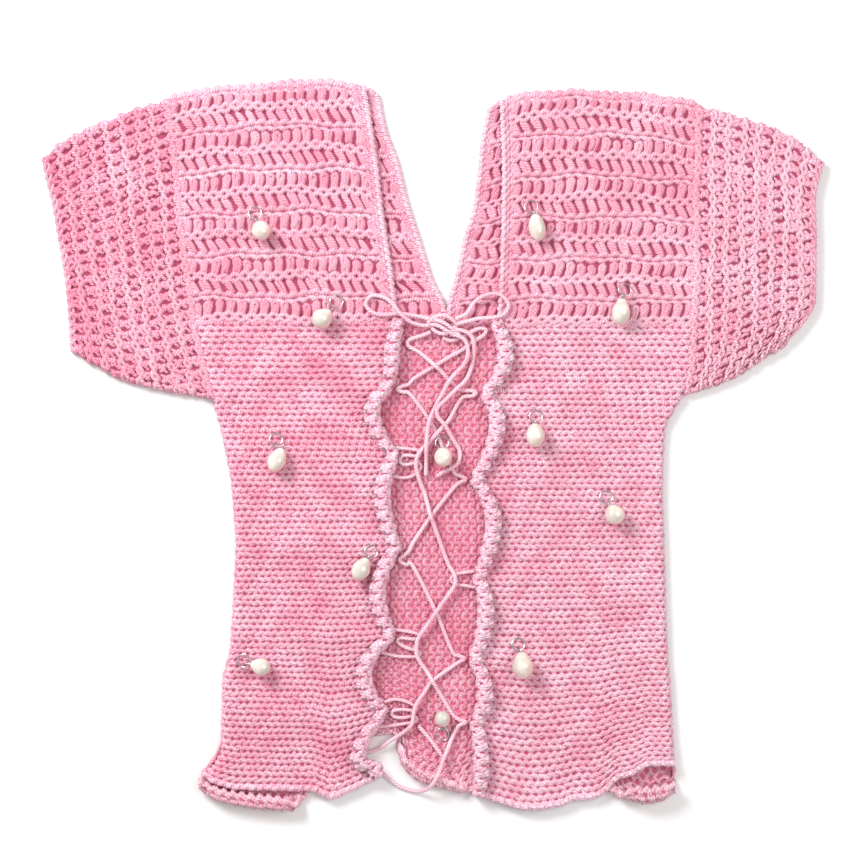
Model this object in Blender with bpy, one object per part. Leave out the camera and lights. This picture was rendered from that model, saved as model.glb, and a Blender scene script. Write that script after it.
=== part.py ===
"""Short-sleeved top, knitted and crocheted, with a laced front, laid flat with its front up.

Tables are in millimetres and meshes in metres. X runs to the viewer's right, Y towards the neck and Z up. Left and
right are the viewer's. The underside rests on Z = 0, and the front panels lie on the back ones."""

import math
from collections import namedtuple

import bmesh
import bpy
import numpy as np

# Driving dimensions, in millimetres
MM = 0.001
GAP = 0.3
MIDDLE = (-0.25, -0.24, 0.0)
KNIT_WALL = 2.6
BACK_YOKE_WALL = 2.3
FRONT_YOKE_WALL = 2.4
FRONT_LEVEL = KNIT_WALL + GAP
FRONT_YOKE_LEVEL = FRONT_LEVEL + GAP
YOKE_SEAM_LEFT = 79.0
YOKE_SEAM_RIGHT = 77.5
FOLD_RADIUS = 2.4
FOLD_EASE = 14.0
EDGE_ROUND = 2.6
LACE_DIAMETER = 2.6
LOOP_DIAMETER = 2.2
LACE_POINT_STEP = 2.25 * LACE_DIAMETER

# Curled front edges: mid-line radius at a pinch and at the belly of a scallop, and how far the curl turns
CURL_PINCH = 2.2
CURL_BELLY = 3.3
CURL_TURN = math.radians(245)
CURL_STEPS = 6

# Crochet rows: how many, how proud their chains stand, and the share of a row that its chain takes
YOKE_ROWS = 11
SLEEVE_ROWS = 8
FRONT_CHAIN = 0.8
BACK_CHAIN = 0.5
SLEEVE_CHAIN = 0.8
CHAIN_SHARE = 0.22

# Neck edging of the front yokes: distances from the free edge, and the edging's rise
EDGING_VALLEY = 5.0
EDGING_CREST = 2.6
EDGING_RISE = 0.5

# Flattened sleeve: its height where it lies, its wall, and the radius of its folded sides
SLEEVE_HEIGHT = 6.2
SLEEVE_WALL = 2.7
SLEEVE_FOLD = SLEEVE_HEIGHT / 2

# Armhole seams seen from above, straight between rows of (y, x), and the side folds below them
ARMHOLE_LEFT = ((216, -165), (128, -155.5), (79, -149.5), (50, -142.5), (29.5, -137))
ARMHOLE_RIGHT = ((212, 164), (118, 163), (77.5, 162), (50, 160.5), (32, 155.5))
SIDE_LEFT = (
    (29.5, -137), (19.5, -135), (10, -132), (-2, -129.5), (-21, -126), (-64, -123), (-95, -124.5), (-126, -126.5),
    (-145, -131), (-182, -132), (-194.5, -137.5), (-204, -144.5), (-214, -145), (-224, -141),
)
SIDE_RIGHT = (
    (32, 155.5), (22.5, 149.5), (10, 144), (-27, 142.5), (-64, 143.5), (-126, 145.5), (-145, 147), (-182, 149),
    (-203, 150), (-213, 149.5), (-222, 146),
)

# Neck lines seen from above, as rows of (y, x)
NECK_FRONT_LEFT = ((223, -43), (176.5, -35.5), (145, -32), (113, -27), (79, -23))
NECK_FRONT_RIGHT = ((214, 42), (170, 43.5), (101, 42), (77, 40))
NECK_BACK_LEFT = ((220, -35), (196, -30), (177.5, -23), (153, -17), (128, -9), (103, -1), (91, 5), (79, 8.3))
NECK_BACK_RIGHT = ((211, 35), (190, 30.5), (165, 28), (146.5, 25), (128, 19.5), (103, 14), (90, 10), (77.5, 8.7))

# Lines of the garment seen from above, as rows of (x, y)
SHOULDER_LEFT = ((-165, 215.5), (-138, 221), (-107.5, 224), (-83, 225.5), (-58, 225), (-43, 222.5), (-34, 218.5))
SHOULDER_RIGHT = ((34, 209.5), (42, 213.5), (60, 218), (103, 219.5), (146, 215), (164, 211.5))
HEM_FRONT_LEFT = (
    (-146, -201), (-136, -208), (-122, -212), (-86, -213), (-76, -213), (-64, -218), (-52, -213.5), (-38, -206.5),
    (-30, -202),
)
HEM_FRONT_RIGHT = (
    (24, -215.5), (35, -218.5), (60, -225), (78.5, -222.5), (87.5, -219), (100, -218), (106, -214), (114, -206),
    (123, -203), (134, -197), (150, -197),
)

Scallop = namedtuple("Scallop", "pinch_y pinch_x belly_y belly_x")
SCALLOPS_LEFT = (
    Scallop(79.0, -18.5, 56.0, -21.5),
    Scallop(37.5, -25.5, 22.0, -34.0),
    Scallop(-5.0, -21.5, -29.0, -27.5),
    Scallop(-62.5, -20.5, -90.0, -30.5),
    Scallop(-117.0, -23.5, -139.0, -39.0),
    Scallop(-164.0, -28.0, -187.0, -42.5),
    Scallop(-195.0, -33.0, -198.5, -31.8),
    Scallop(-202.0, -31.0, -202.0, -31.0),
)
SCALLOPS_RIGHT = (
    Scallop(77.5, 36.0, 56.0, 40.5),
    Scallop(33.0, 29.5, 15.0, 35.5),
    Scallop(-20.0, 23.0, -46.0, 33.0),
    Scallop(-81.5, 25.0, -101.0, 28.5),
    Scallop(-131.5, 22.5, -152.0, 28.0),
    Scallop(-171.0, 23.5, -195.0, 25.5),
    Scallop(-215.5, 24.5, -215.5, 24.5),
)
SCALLOP_STEPS = (0.0, 0.12, 0.32, 0.55, 0.78, 0.92)

# Hem of the back: its outline, the length of cloth in its roll, and how far it turns
HemRoll = namedtuple("HemRoll", "x outline length turn")
BACK_HEM = (
    HemRoll(-145.0, -211.0, 11.0, 190),
    HemRoll(-136.0, -219.0, 15.0, 225),
    HemRoll(-122.0, -223.5, 17.0, 238),
    HemRoll(-104.0, -225.5, 17.0, 238),
    HemRoll(-91.0, -226.0, 16.0, 225),
    HemRoll(-86.0, -223.5, 9.0, 95),
    HemRoll(-81.5, -219.0, 4.0, 0),
    HemRoll(-74.0, -211.0, 4.0, 0),
    HemRoll(-60.0, -200.0, 4.0, 0),
    HemRoll(-48.0, -180.0, 4.0, 0),
    HemRoll(-31.0, -178.0, 4.0, 0),
    HemRoll(-27.0, -189.5, 6.0, 70),
    HemRoll(-21.5, -198.0, 9.0, 190),
    HemRoll(-9.0, -207.0, 11.5, 228),
    HemRoll(4.0, -211.0, 11.5, 228),
    HemRoll(14.0, -213.5, 9.5, 200),
    HemRoll(19.0, -214.5, 5.0, 60),
    HemRoll(23.0, -214.5, 5.0, 0),
    HemRoll(60.0, -218.0, 5.0, 0),
    HemRoll(98.0, -213.0, 5.0, 0),
    HemRoll(108.0, -214.0, 5.0, 0),
    HemRoll(116.0, -217.5, 10.0, 110),
    HemRoll(123.0, -219.0, 18.0, 210),
    HemRoll(134.0, -221.5, 20.0, 238),
    HemRoll(143.0, -219.5, 19.0, 235),
    HemRoll(149.5, -214.0, 14.0, 200),
)
ROLL_STEPS = 7
BACK_LEVELS = (50.0, 30.0, 10.0, -27.0, -64.0, -110.0, -145.0)
BACK_LAST_SHARES = (0.35, 0.7, 0.9)

# Soft lifts of the front panels over the rolled corners: centre, half widths and height
Lift = namedtuple("Lift", "x y across along height")
LIFTS = (
    Lift(x=136, y=-196, across=20, along=16, height=3.2),
    Lift(x=-124, y=-206, across=26, along=12, height=1.6),
    Lift(x=-38, y=-203, across=10, along=9, height=0.8),
    Lift(x=62, y=-222, across=22, along=9, height=1.4),
)

# Sleeve outlines: bows of the upper and the lower fold, and the cuff, as rows of (share of the way, x, y)
CUFF_LEFT = ((179.5, -242), (165, -239), (153, -236), (128, -231.5), (103, -227.5), (84.5, -225.5), (58.5, -224))
CUFF_RIGHT = ((177, 241.5), (165, 238), (153, 236), (128, 236.5), (91, 236), (77, 229), (65, 218))
SLEEVE_TOP_LEFT = ((-242, 179.5), (-229.5, 190), (-216, 197), (-202, 203), (-189, 208.5), (-165, 215.5))
SLEEVE_TOP_RIGHT = ((164, 211.5), (177, 208.5), (198, 202.5), (215, 196), (226, 190), (241.5, 177))
SLEEVE_UNDER_LEFT = ((-224, 58.5), (-215.5, 53.5), (-204.5, 47.5), (-193, 42), (-168.5, 35), (-137, 29.5))
SLEEVE_UNDER_RIGHT = ((155.5, 32), (179.5, 40), (192, 46.5), (201, 53), (213, 60), (218, 65))

# Heights of the lace: on the back, over one strand, and over two; LEG is that of the edge loops
LOW = KNIT_WALL + GAP + LACE_DIAMETER / 2
OVER = LOW + LACE_DIAMETER + GAP + 0.9
RISING = LOW + 1.6
TOPMOST = OVER + 1.0
FLOOR = LACE_DIAMETER / 2 + 0.05
LEG = KNIT_WALL + GAP + LOOP_DIAMETER / 2 + 0.1
YOKE_TOP = FRONT_YOKE_LEVEL + FRONT_YOKE_WALL + FRONT_CHAIN
ON_YOKE = YOKE_TOP + GAP + LACE_DIAMETER / 2

Lace = namedtuple("Lace", "name diameter route")
LACES = (
    Lace("lace_half_a", LACE_DIAMETER, (
        (-1.8, 71.0, 6.0), (-6.5, 69.0, 5.0), (-12.0, 67.3, LOW), (-15.8, 65.6, LOW), (-15.4, 62.2, LOW),
        (-9.0, 58.5, LOW), (-3.5, 54.0, RISING), (1.0, 50.0, OVER), (5.0, 46.3, RISING), (12.0, 39.0, LOW),
        (17.0, 35.0, LOW), (23.0, 34.7, LOW), (26.6, 33.0, LOW), (23.5, 31.3, LOW), (18.0, 30.4, LOW),
        (14.0, 24.5, LOW), (10.0, 17.0, LOW), (6.0, 12.5, RISING), (2.0, 8.0, OVER), (-2.0, 3.4, 5.4),
        (-5.0, 0.4, 5.2), (-8.2, -2.8, 7.0), (-10.3, -7.0, 7.0), (-10.8, -12.4, 7.0), (-9.6, -18.0, 6.8),
        (-7.6, -23.8, 5.2), (-5.5, -29.0, LOW), (-3.3, -37.5, RISING), (-1.7, -43.5, OVER),
        (0.6, -49.5, RISING), (8.8, -72.0, LOW), (11.6, -77.0, RISING), (13.3, -80.6, 7.0),
        (13.5, -84.4, 7.2), (11.6, -88.6, 6.4), (5.0, -97.8, RISING), (1.5, -102.7, OVER),
        (-2.5, -108.8, 6.6), (-7.0, -115.0, 6.8), (-9.8, -119.4, 6.9), (-10.5, -123.6, 7.0),
        (-10.4, -129.0, 7.1), (-8.0, -134.0, 6.4), (-4.0, -139.7, RISING), (-0.6, -145.4, OVER),
        (3.0, -151.5, RISING), (11.4, -165.5, LOW), (15.5, -169.2, LOW), (20.4, -171.0, LOW),
        (16.0, -173.0, LOW), (13.2, -177.0, LOW), (9.2, -186.4, RISING), (6.4, -193.0, OVER),
        (4.8, -198.0, 8.4), (3.2, -202.0, 10.2), (1.6, -205.4, 11.0), (-0.6, -209.0, 10.2),
        (-4.2, -212.4, 6.8), (-9.0, -214.0, 2.6), (-14.5, -213.4, FLOOR), (-21.5, -210.8, FLOOR),
        (-27.8, -206.2, FLOOR), (-32.5, -202.2, FLOOR), (-37.5, -199.2, FLOOR), (-45.0, -198.4, FLOOR),
    )),
    Lace("lace_half_b", LACE_DIAMETER, (
        (5.6, 67.6, 5.0), (10.5, 65.8, LOW), (17.0, 67.6, LOW), (23.0, 70.8, LOW), (28.5, 73.2, LOW),
        (32.6, 72.3, LOW), (31.0, 69.0, LOW), (25.0, 65.2, LOW), (19.0, 60.6, LOW), (9.0, 55.0, LOW),
        (1.0, 50.0, LOW), (-11.5, 42.6, LOW), (-15.5, 38.6, LOW), (-19.0, 37.6, LOW), (-22.6, 35.6, LOW),
        (-19.0, 33.7, LOW), (-14.5, 32.4, LOW), (-3.4, 17.7, LOW), (2.0, 8.0, LOW), (8.2, -6.5, LOW),
        (13.0, -16.5, LOW), (16.0, -18.0, LOW), (20.2, -20.4, LOW), (16.0, -22.4, LOW), (12.0, -26.2, LOW),
        (-1.7, -43.5, LOW), (-12.6, -59.5, LOW), (-15.4, -65.0, LOW), (-21.2, -70.3, LOW),
        (-17.0, -73.4, LOW), (-12.6, -74.6, LOW), (1.5, -102.7, LOW), (11.4, -126.6, LOW),
        (15.0, -129.6, LOW), (19.4, -131.5, LOW), (15.6, -133.8, LOW), (11.5, -136.6, LOW),
        (-0.6, -145.4, LOW), (-5.4, -152.0, 4.9), (-8.6, -156.4, 6.5), (-11.2, -160.8, 6.9),
        (-12.4, -165.4, 6.9), (-12.8, -169.4, 7.1), (-14.0, -173.0, 7.0), (-17.4, -176.4, 5.0),
        (-22.2, -179.6, LOW), (-28.0, -183.4, LOW), (-30.8, -185.6, 3.6), (-34.5, -187.9, 1.9),
        (-39.5, -189.6, FLOOR), (-46.0, -190.0, FLOOR),
    )),
    Lace("lace_link", LACE_DIAMETER, (
        (-9.4, -173.2, LOW), (-3.0, -180.6, LOW), (1.4, -186.4, LOW), (4.4, -190.6, LOW), (7.2, -194.6, LOW),
    )),
    Lace("bow_loop_right", LACE_DIAMETER, (
        (13.6, 79.2, 7.2), (20.5, 82.4, 6.6), (25.5, 89.5, 6.4), (32.0, 93.7, 7.2), (40.5, 94.4, ON_YOKE),
        (46.4, 88.2, ON_YOKE), (43.5, 82.0, ON_YOKE), (37.0, 80.0, ON_YOKE), (27.5, 79.2, 7.0), (20.0, 77.3, 6.8),
        (14.2, 75.8, 7.0),
    )),
    Lace("bow_loop_left", LACE_DIAMETER, (
        (-2.2, 79.0, 7.2), (-11.5, 81.0, 7.4), (-21.5, 82.3, ON_YOKE), (-32.0, 81.5, ON_YOKE),
        (-38.5, 83.6, ON_YOKE), (-42.0, 88.5, ON_YOKE), (-38.0, 93.5, ON_YOKE), (-30.0, 92.0, ON_YOKE),
        (-25.5, 88.4, 9.2), (-20.5, 82.2, 11.3), (-14.5, 77.3, 9.4), (-8.0, 75.2, 7.6), (-2.4, 74.9, 7.2),
    )),
    Lace("tail_inner", LACE_DIAMETER, (
        (10.6, 69.4, 7.2), (15.0, 68.6, OVER), (19.0, 66.4, OVER), (21.0, 62.0, OVER), (21.2, 56.0, OVER),
        (18.6, 50.5, RISING), (13.0, 44.6, OVER), (9.2, 39.8, OVER), (5.5, 32.5, RISING), (1.6, 25.4, LOW),
        (-2.4, 16.6, OVER), (-4.0, 7.5, OVER), (-4.4, 0.0, TOPMOST), (-4.4, -8.0, RISING), (-4.8, -18.6, LOW),
    )),
    Lace("tail_outer", LACE_DIAMETER, (
        (13.4, 72.5, 7.2), (18.5, 71.6, OVER), (22.5, 69.4, OVER), (24.9, 65.2, OVER), (25.2, 59.0, RISING),
        (23.8, 50.0, LOW), (20.4, 41.8, RISING), (14.6, 36.0, OVER), (8.0, 29.4, OVER), (2.4, 23.6, OVER),
        (2.8, 18.2, OVER), (7.0, 13.4, TOPMOST), (11.5, 5.5, RISING), (16.2, -2.5, LOW), (15.4, -9.4, RISING),
        (11.4, -13.2, OVER), (6.4, -15.6, RISING), (1.6, -19.0, LOW),
    )),
    Lace("edge_loop_1", LOOP_DIAMETER, (
        (-24.0, -0.8, LEG), (-18.0, -1.2, LEG), (-12.6, -1.8, LEG), (-9.4, -2.6, LEG), (-7.9, -4.2, LEG),
        (-9.4, -5.8, LEG), (-13.0, -5.8, LEG), (-17.6, -5.4, LEG), (-19.8, -6.4, LEG), (-20.8, -8.6, LEG),
        (-19.8, -10.8, LEG), (-17.0, -11.2, LEG), (-12.8, -10.6, LEG), (-9.8, -10.0, LEG),
        (-7.9, -11.8, LEG), (-8.8, -14.8, LEG), (-13.0, -18.2, LEG), (-18.6, -19.4, LEG),
        (-25.4, -18.4, LEG),
    )),
    Lace("edge_loop_2", LOOP_DIAMETER, (
        (-24.2, -113.6, LEG), (-17.0, -114.6, LEG), (-10.8, -116.0, LEG), (-8.2, -117.8, LEG),
        (-10.4, -119.6, LEG), (-15.6, -119.2, LEG), (-20.6, -118.8, LEG), (-22.6, -120.4, LEG),
        (-21.0, -122.6, LEG), (-15.8, -125.2, LEG), (-10.8, -126.6, LEG), (-8.2, -128.4, LEG),
        (-10.4, -130.2, LEG), (-16.0, -130.4, LEG), (-23.0, -130.0, LEG), (-32.6, -127.6, LEG),
    )),
    Lace("edge_loop_3", LOOP_DIAMETER, (
        (-30.8, -158.6, LEG), (-24.0, -156.8, LEG), (-17.0, -158.2, LEG), (-12.6, -160.4, LEG),
        (-10.2, -162.2, LEG), (-12.4, -163.8, LEG), (-18.0, -163.2, LEG), (-24.0, -163.6, LEG),
        (-26.0, -165.6, LEG), (-24.2, -167.8, LEG), (-18.6, -168.2, LEG), (-12.8, -167.4, LEG),
        (-10.2, -169.2, LEG), (-12.6, -171.0, LEG), (-18.6, -172.0, LEG), (-26.6, -173.2, LEG),
        (-34.5, -174.0, LEG),
    )),
    Lace("edge_loop_4", LOOP_DIAMETER, (
        (25.6, -77.4, LEG), (19.0, -78.2, LEG), (14.0, -79.2, LEG), (10.8, -82.2, LEG), (13.6, -85.4, LEG),
        (19.0, -86.2, LEG), (25.9, -87.4, LEG),
    )),
)

# Bow knot: centre and half sizes
KNOT_CENTRE = (6.0, 75.2, 7.0)
KNOT_HALF = (7.0, 5.6, 3.6)

# Pearls: place, greatest width, length, direction of the narrow end in degrees, how far it narrows, its ring's place
Pearl = namedtuple("Pearl", "x y seat width length heading taper ring_x ring_y ring_seat")
BODY_TOP = FRONT_LEVEL + KNIT_WALL
LACE_TOP = LOW + LACE_DIAMETER / 2
FOLD_LIFT = 1.0
BETWEEN_CHAINS = YOKE_TOP - 0.7
PEARLS = (
    Pearl(-106.5, 133.5, YOKE_TOP, 11.8, 12.4, 115, 0.05, -110.5, 144.5, YOKE_TOP),
    Pearl(-68.5, 79.5, YOKE_TOP, 12.4, 13.8, 40, 0.30, -60.0, 90.0, YOKE_TOP),
    Pearl(64.0, 135.5, BETWEEN_CHAINS, 10.6, 17.2, 100, 0.10, 60.5, 148.5, YOKE_TOP),
    Pearl(116.0, 83.5, BETWEEN_CHAINS, 11.8, 17.2, 85, 0.35, 118.5, 97.0, YOKE_TOP),
    Pearl(-96.5, -8.0, BODY_TOP, 11.8, 16.0, 65, 0.35, -97.5, 4.5, BODY_TOP),
    Pearl(63.0, 7.0, BODY_TOP, 11.8, 15.0, 90, 0.10, 63.5, 19.0, BODY_TOP),
    Pearl(6.0, -6.5, LACE_TOP, 11.2, 12.4, 90, 0.05, 5.4, 2.6, LACE_TOP),
    Pearl(112.0, -42.0, BODY_TOP, 12.4, 13.0, 120, 0.05, 107.0, -31.0, BODY_TOP),
    Pearl(-44.5, -75.5, BODY_TOP, 11.8, 15.6, 60, 0.35, -38.6, -65.0, BODY_TOP),
    Pearl(-107.0, -136.0, BODY_TOP, 11.2, 13.0, 165, 0.25, -117.5, -132.5, BODY_TOP + FOLD_LIFT),
    Pearl(55.0, -135.0, BODY_TOP, 13.6, 17.4, 95, 0.40, 52.5, -122.5, BODY_TOP),
    Pearl(5.6, -168.8, KNIT_WALL, 9.6, 10.4, 290, 0.10, 5.6, -178.6, KNIT_WALL),
)
PEARL_SEGMENTS = 8
PEARL_RINGS = 6
RING_RADIUS = 4.0
RING_WIRE = 0.45
RING_SEGMENTS = 10
WIRE_SEGMENTS = 4

# Colours, roughness and metallic value of each finish
Finish = namedtuple("Finish", "colour roughness metallic")
KNIT_FINISH = Finish((0.87, 0.30, 0.42, 1.0), 0.85, 0.0)
INSIDE_FINISH = Finish((0.82, 0.20, 0.33, 1.0), 0.88, 0.0)
CROCHET_FINISH = Finish((0.86, 0.28, 0.40, 1.0), 0.85, 0.0)
LACE_FINISH = Finish((0.92, 0.48, 0.60, 1.0), 0.75, 0.0)
PEARL_FINISH = Finish((0.88, 0.84, 0.76, 1.0), 0.25, 0.0)
SILVER_FINISH = Finish((0.75, 0.75, 0.77, 1.0), 0.22, 1.0)


def clear_scene():
    """Removes every object that a new file holds."""
    for item in list(bpy.data.objects):
        bpy.data.objects.remove(item, do_unlink=True)


def dress(item, finish):
    """Gives an object a material of its own."""
    material = bpy.data.materials.new(item.name + "_finish")
    material.use_nodes = True
    shader = material.node_tree.nodes["Principled BSDF"]
    shader.inputs["Base Color"].default_value = finish.colour
    shader.inputs["Roughness"].default_value = finish.roughness
    shader.inputs["Metallic"].default_value = finish.metallic
    material.diffuse_color = finish.colour
    item.data.materials.append(material)


def follow(table, at):
    """Value at one or more places of the smooth line through rows of (place, value), with no overshoot."""
    rows = sorted(table)
    place = np.array([row[0] for row in rows], dtype=float)
    value = np.array([row[1] for row in rows], dtype=float)
    step = np.diff(place)
    slope = np.diff(value) / step
    product = slope[:-1] * slope[1:]
    total = np.where(product > 0, slope[:-1] + slope[1:], 1.0)
    tangent = np.concatenate(([slope[0]], np.where(product > 0, 2 * product / total, 0.0), [slope[-1]]))
    at = np.clip(at, place[0], place[-1])
    left = np.clip(np.searchsorted(place, at, side="right") - 1, 0, len(step) - 1)
    t = (at - place[left]) / step[left]
    return (
        (1 + 2 * t) * (1 - t) ** 2 * value[left]
        + t * (1 - t) ** 2 * step[left] * tangent[left]
        + t**2 * (3 - 2 * t) * value[left + 1]
        + t**2 * (t - 1) * step[left] * tangent[left + 1]
    )


def side_line(armhole, side):
    """Side of the body as a function of y: straight runs along the armhole, and a smooth line below it."""
    inward = -math.copysign(GAP / 2, side[0][1])
    rising = sorted(armhole)

    def place(y):
        along_armhole = np.interp(y, [row[0] for row in rising], [row[1] for row in rising])
        return np.where(np.asarray(y) > side[0][0], along_armhole, follow(side, y)) + inward

    return place


def quarter_round(distance, radius):
    """Drop of a rounded edge at a distance from it, as a share of the radius: 1 at the edge and 0 past the radius."""
    inside = np.clip(1 - np.asarray(distance, dtype=float) / radius, 0, 1)
    return 1 - np.sqrt(1 - inside**2)


def grid_faces(rows, columns, first, flip):
    """Quads of a grid of points whose numbers start at first."""
    faces = []
    for j in range(rows - 1):
        for i in range(columns - 1):
            a = first + j * columns + i
            quad = (a, a + 1, a + columns + 1, a + columns)
            faces.append(quad[::-1] if flip else quad)
    return faces


def border(rows, columns):
    """Numbers of a grid's border points, once round."""
    bottom = list(range(columns))
    right = [j * columns + columns - 1 for j in range(1, rows)]
    top = [(rows - 1) * columns + i for i in range(columns - 2, -1, -1)]
    left = [j * columns for j in range(rows - 2, 0, -1)]
    return bottom + right + top + left


def placed(point):
    """A point of the tables, in metres from the middle of the garment's outline."""
    return tuple(MM * (float(value) - middle) for value, middle in zip(point, MIDDLE))


def add_mesh(name, points, faces, finish, smooth_angle=50):
    """Makes a closed mesh object from points in millimetres."""
    mesh = bpy.data.meshes.new(name)
    mesh.from_pydata([placed(point) for point in points], [], faces)
    shape = bmesh.new()
    shape.from_mesh(mesh)
    bmesh.ops.recalc_face_normals(shape, faces=shape.faces)
    shape.to_mesh(mesh)
    shape.free()
    mesh.shade_smooth()
    mesh.set_sharp_from_angle(angle=math.radians(smooth_angle))
    item = bpy.data.objects.new(name, mesh)
    bpy.context.scene.collection.objects.link(item)
    dress(item, finish)
    return item


def add_wall(name, upper, lower, finish):
    """Closed wall between two grids of points of the same shape, (rows, columns, 3)."""
    rows, columns = upper.shape[:2]
    count = rows * columns
    faces = grid_faces(rows, columns, 0, False) + grid_faces(rows, columns, count, True)
    ring = border(rows, columns)
    for a, b in zip(ring, ring[1:] + ring[:1]):
        faces.append((b, a, a + count, b + count))
    points = np.concatenate((upper.reshape(-1, 3), lower.reshape(-1, 3)))
    return add_mesh(name, points, faces, finish)


def add_plate(name, upper, under_level, finish):
    """Closed plate between a grid of points and one flat face under it."""
    rows, columns = upper.shape[:2]
    count = rows * columns
    ring = border(rows, columns)
    flat = upper.reshape(-1, 3)[ring].copy()
    flat[:, 2] = under_level
    faces = grid_faces(rows, columns, 0, False)
    below = [count + k for k in range(len(ring))]
    for k in range(len(ring)):
        n = (k + 1) % len(ring)
        faces.append((ring[n], ring[k], below[k], below[n]))
    faces.append(tuple(below[::-1]))
    return add_mesh(name, np.concatenate((upper.reshape(-1, 3), flat)), faces, finish)


def lift(x, y):
    """Height of the soft lifts of the front panels."""
    total = np.zeros(np.broadcast(x, y).shape)
    for row in LIFTS:
        total = total + row.height * np.exp(-(((x - row.x) / row.across) ** 2) - ((y - row.y) / row.along) ** 2)
    return total


def scallop_line(scallops):
    """Rows down a curled edge: y, x and how near the belly of its scallop each lies, from 0 to 1.

    From a pinch the edge falls back at once to the belly, as a quarter of a sine, and swings out again to the
    next pinch, as a quarter of a cosine, so that the pinches are sharp and the bellies are round."""
    lines = []
    for this, following in zip(scallops, scallops[1:]):
        for share in SCALLOP_STEPS:
            if share < 0.5:
                part = share / 0.5
                y = this.pinch_y + (this.belly_y - this.pinch_y) * part
                fall = math.sin(math.pi / 2 * part)
                lines.append((y, this.belly_x + (this.pinch_x - this.belly_x) * (1 - fall), fall))
            else:
                part = share / 0.5 - 1
                y = this.belly_y + (following.pinch_y - this.belly_y) * part
                rise = 1 - math.cos(math.pi / 2 * part)
                lines.append((y, this.belly_x + (following.pinch_x - this.belly_x) * rise, 1 - rise))
    last = scallops[-1]
    lines.append((last.pinch_y, last.pinch_x, 0.0))
    return np.array(lines)


def front_section(width, curl):
    """Mid-line of a front from its side fold to the end of its curl: distance from the side, height and heading.

    A quarter circle rises from the side seam, eases down to the panel's level, runs flat to the curl, and the curl
    turns up and back over itself."""
    middle = FRONT_LEVEL + KNIT_WALL / 2
    crest = FRONT_LEVEL + FOLD_RADIUS
    start = width - KNIT_WALL - curl
    points = [
        (FOLD_RADIUS * (1 - math.cos(a)), FRONT_LEVEL + FOLD_RADIUS * math.sin(a), math.pi / 2 - a)
        for a in (0.0, math.pi / 4, math.pi / 2)
    ]
    middle_slope = math.atan2(-(crest - middle) * math.pi / 2, FOLD_EASE)
    points.append((FOLD_RADIUS + FOLD_EASE / 2, (crest + middle) / 2, middle_slope))
    eased = FOLD_RADIUS + FOLD_EASE
    points += [(eased + (start - eased) * share, middle, 0.0) for share in (0.0, 0.35, 0.7, 1.0)]
    for step in range(1, CURL_STEPS + 1):
        turn = CURL_TURN * step / CURL_STEPS
        points.append((start + curl * math.sin(turn), middle + curl * (1 - math.cos(turn)), turn))
    return np.array(points)


def make_front(name, side, scallops, hem, seam, direction):
    """One front: rows across it from the side fold to the curled edge, from the yoke seam down to the hem."""
    lines = scallop_line(scallops)
    depth = scallops[0].pinch_y - scallops[-1].pinch_y
    share = (lines[:, 0] - scallops[-1].pinch_y) / depth
    extra = np.array([EDGE_ROUND, 0.3 * EDGE_ROUND]) / depth
    keep = share > extra[0]
    share = np.concatenate((share[keep], extra, [0.0]))
    edge_x = np.concatenate((lines[keep, 1], [lines[-1, 1]] * 3))
    belly = np.concatenate((lines[keep, 2], [0.3, 0.3, 0.3]))
    top = seam - GAP / 2
    side_hem = follow(hem, side(hem[0][1]))
    upper, lower = [], []
    for part, edge, fullness in zip(share, edge_x, belly):
        side_y = side_hem + part * (top - side_hem)
        side_x = float(side(side_y))
        curl = CURL_PINCH + (CURL_BELLY - CURL_PINCH) * fullness
        section = front_section(abs(edge - side_x), curl)
        heading = section[:, 2]
        rounding = KNIT_WALL * 0.8 * quarter_round(part * depth, EDGE_ROUND)
        pair = []
        for offset in (KNIT_WALL / 2 - rounding, -KNIT_WALL / 2):
            across = section[:, 0] - offset * np.sin(heading)
            x = side_x + direction * (KNIT_WALL / 2 + across)
            base = follow(hem, x)
            y = base + part * (top - base)
            z = section[:, 1] + offset * np.cos(heading) + lift(x, y)
            pair.append(np.stack((x, y, z), axis=1))
        upper.append(pair[0])
        lower.append(pair[1])
    return add_wall(name, np.array(upper), np.array(lower), KNIT_FINISH)


def back_section(top, row):
    """Mid-line of the back from the yoke seam to the end of the hem's roll: y, z and heading below the horizontal."""
    middle = KNIT_WALL / 2
    full = math.radians(row.turn)
    if full > 0:
        reach = row.length / full * math.sin(min(full, math.pi / 2)) + middle * min(full / (math.pi / 2), 1)
    else:
        reach = row.length
    start = row.outline + reach
    last = BACK_LEVELS[-1]
    levels = (top,) + BACK_LEVELS + tuple(last + (start - last) * share for share in BACK_LAST_SHARES) + (start,)
    points = [(y, middle, 0.0) for y in levels]
    for step in range(1, ROLL_STEPS + 1):
        share = step / ROLL_STEPS
        if full > 0:
            radius = row.length / full
            along = radius * math.sin(full * share)
            rise = radius * (1 - math.cos(full * share))
        else:
            along = row.length * share
            rise = 0.0
        points.append((start - along, middle + rise, full * share))
    return np.array(points)


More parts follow.
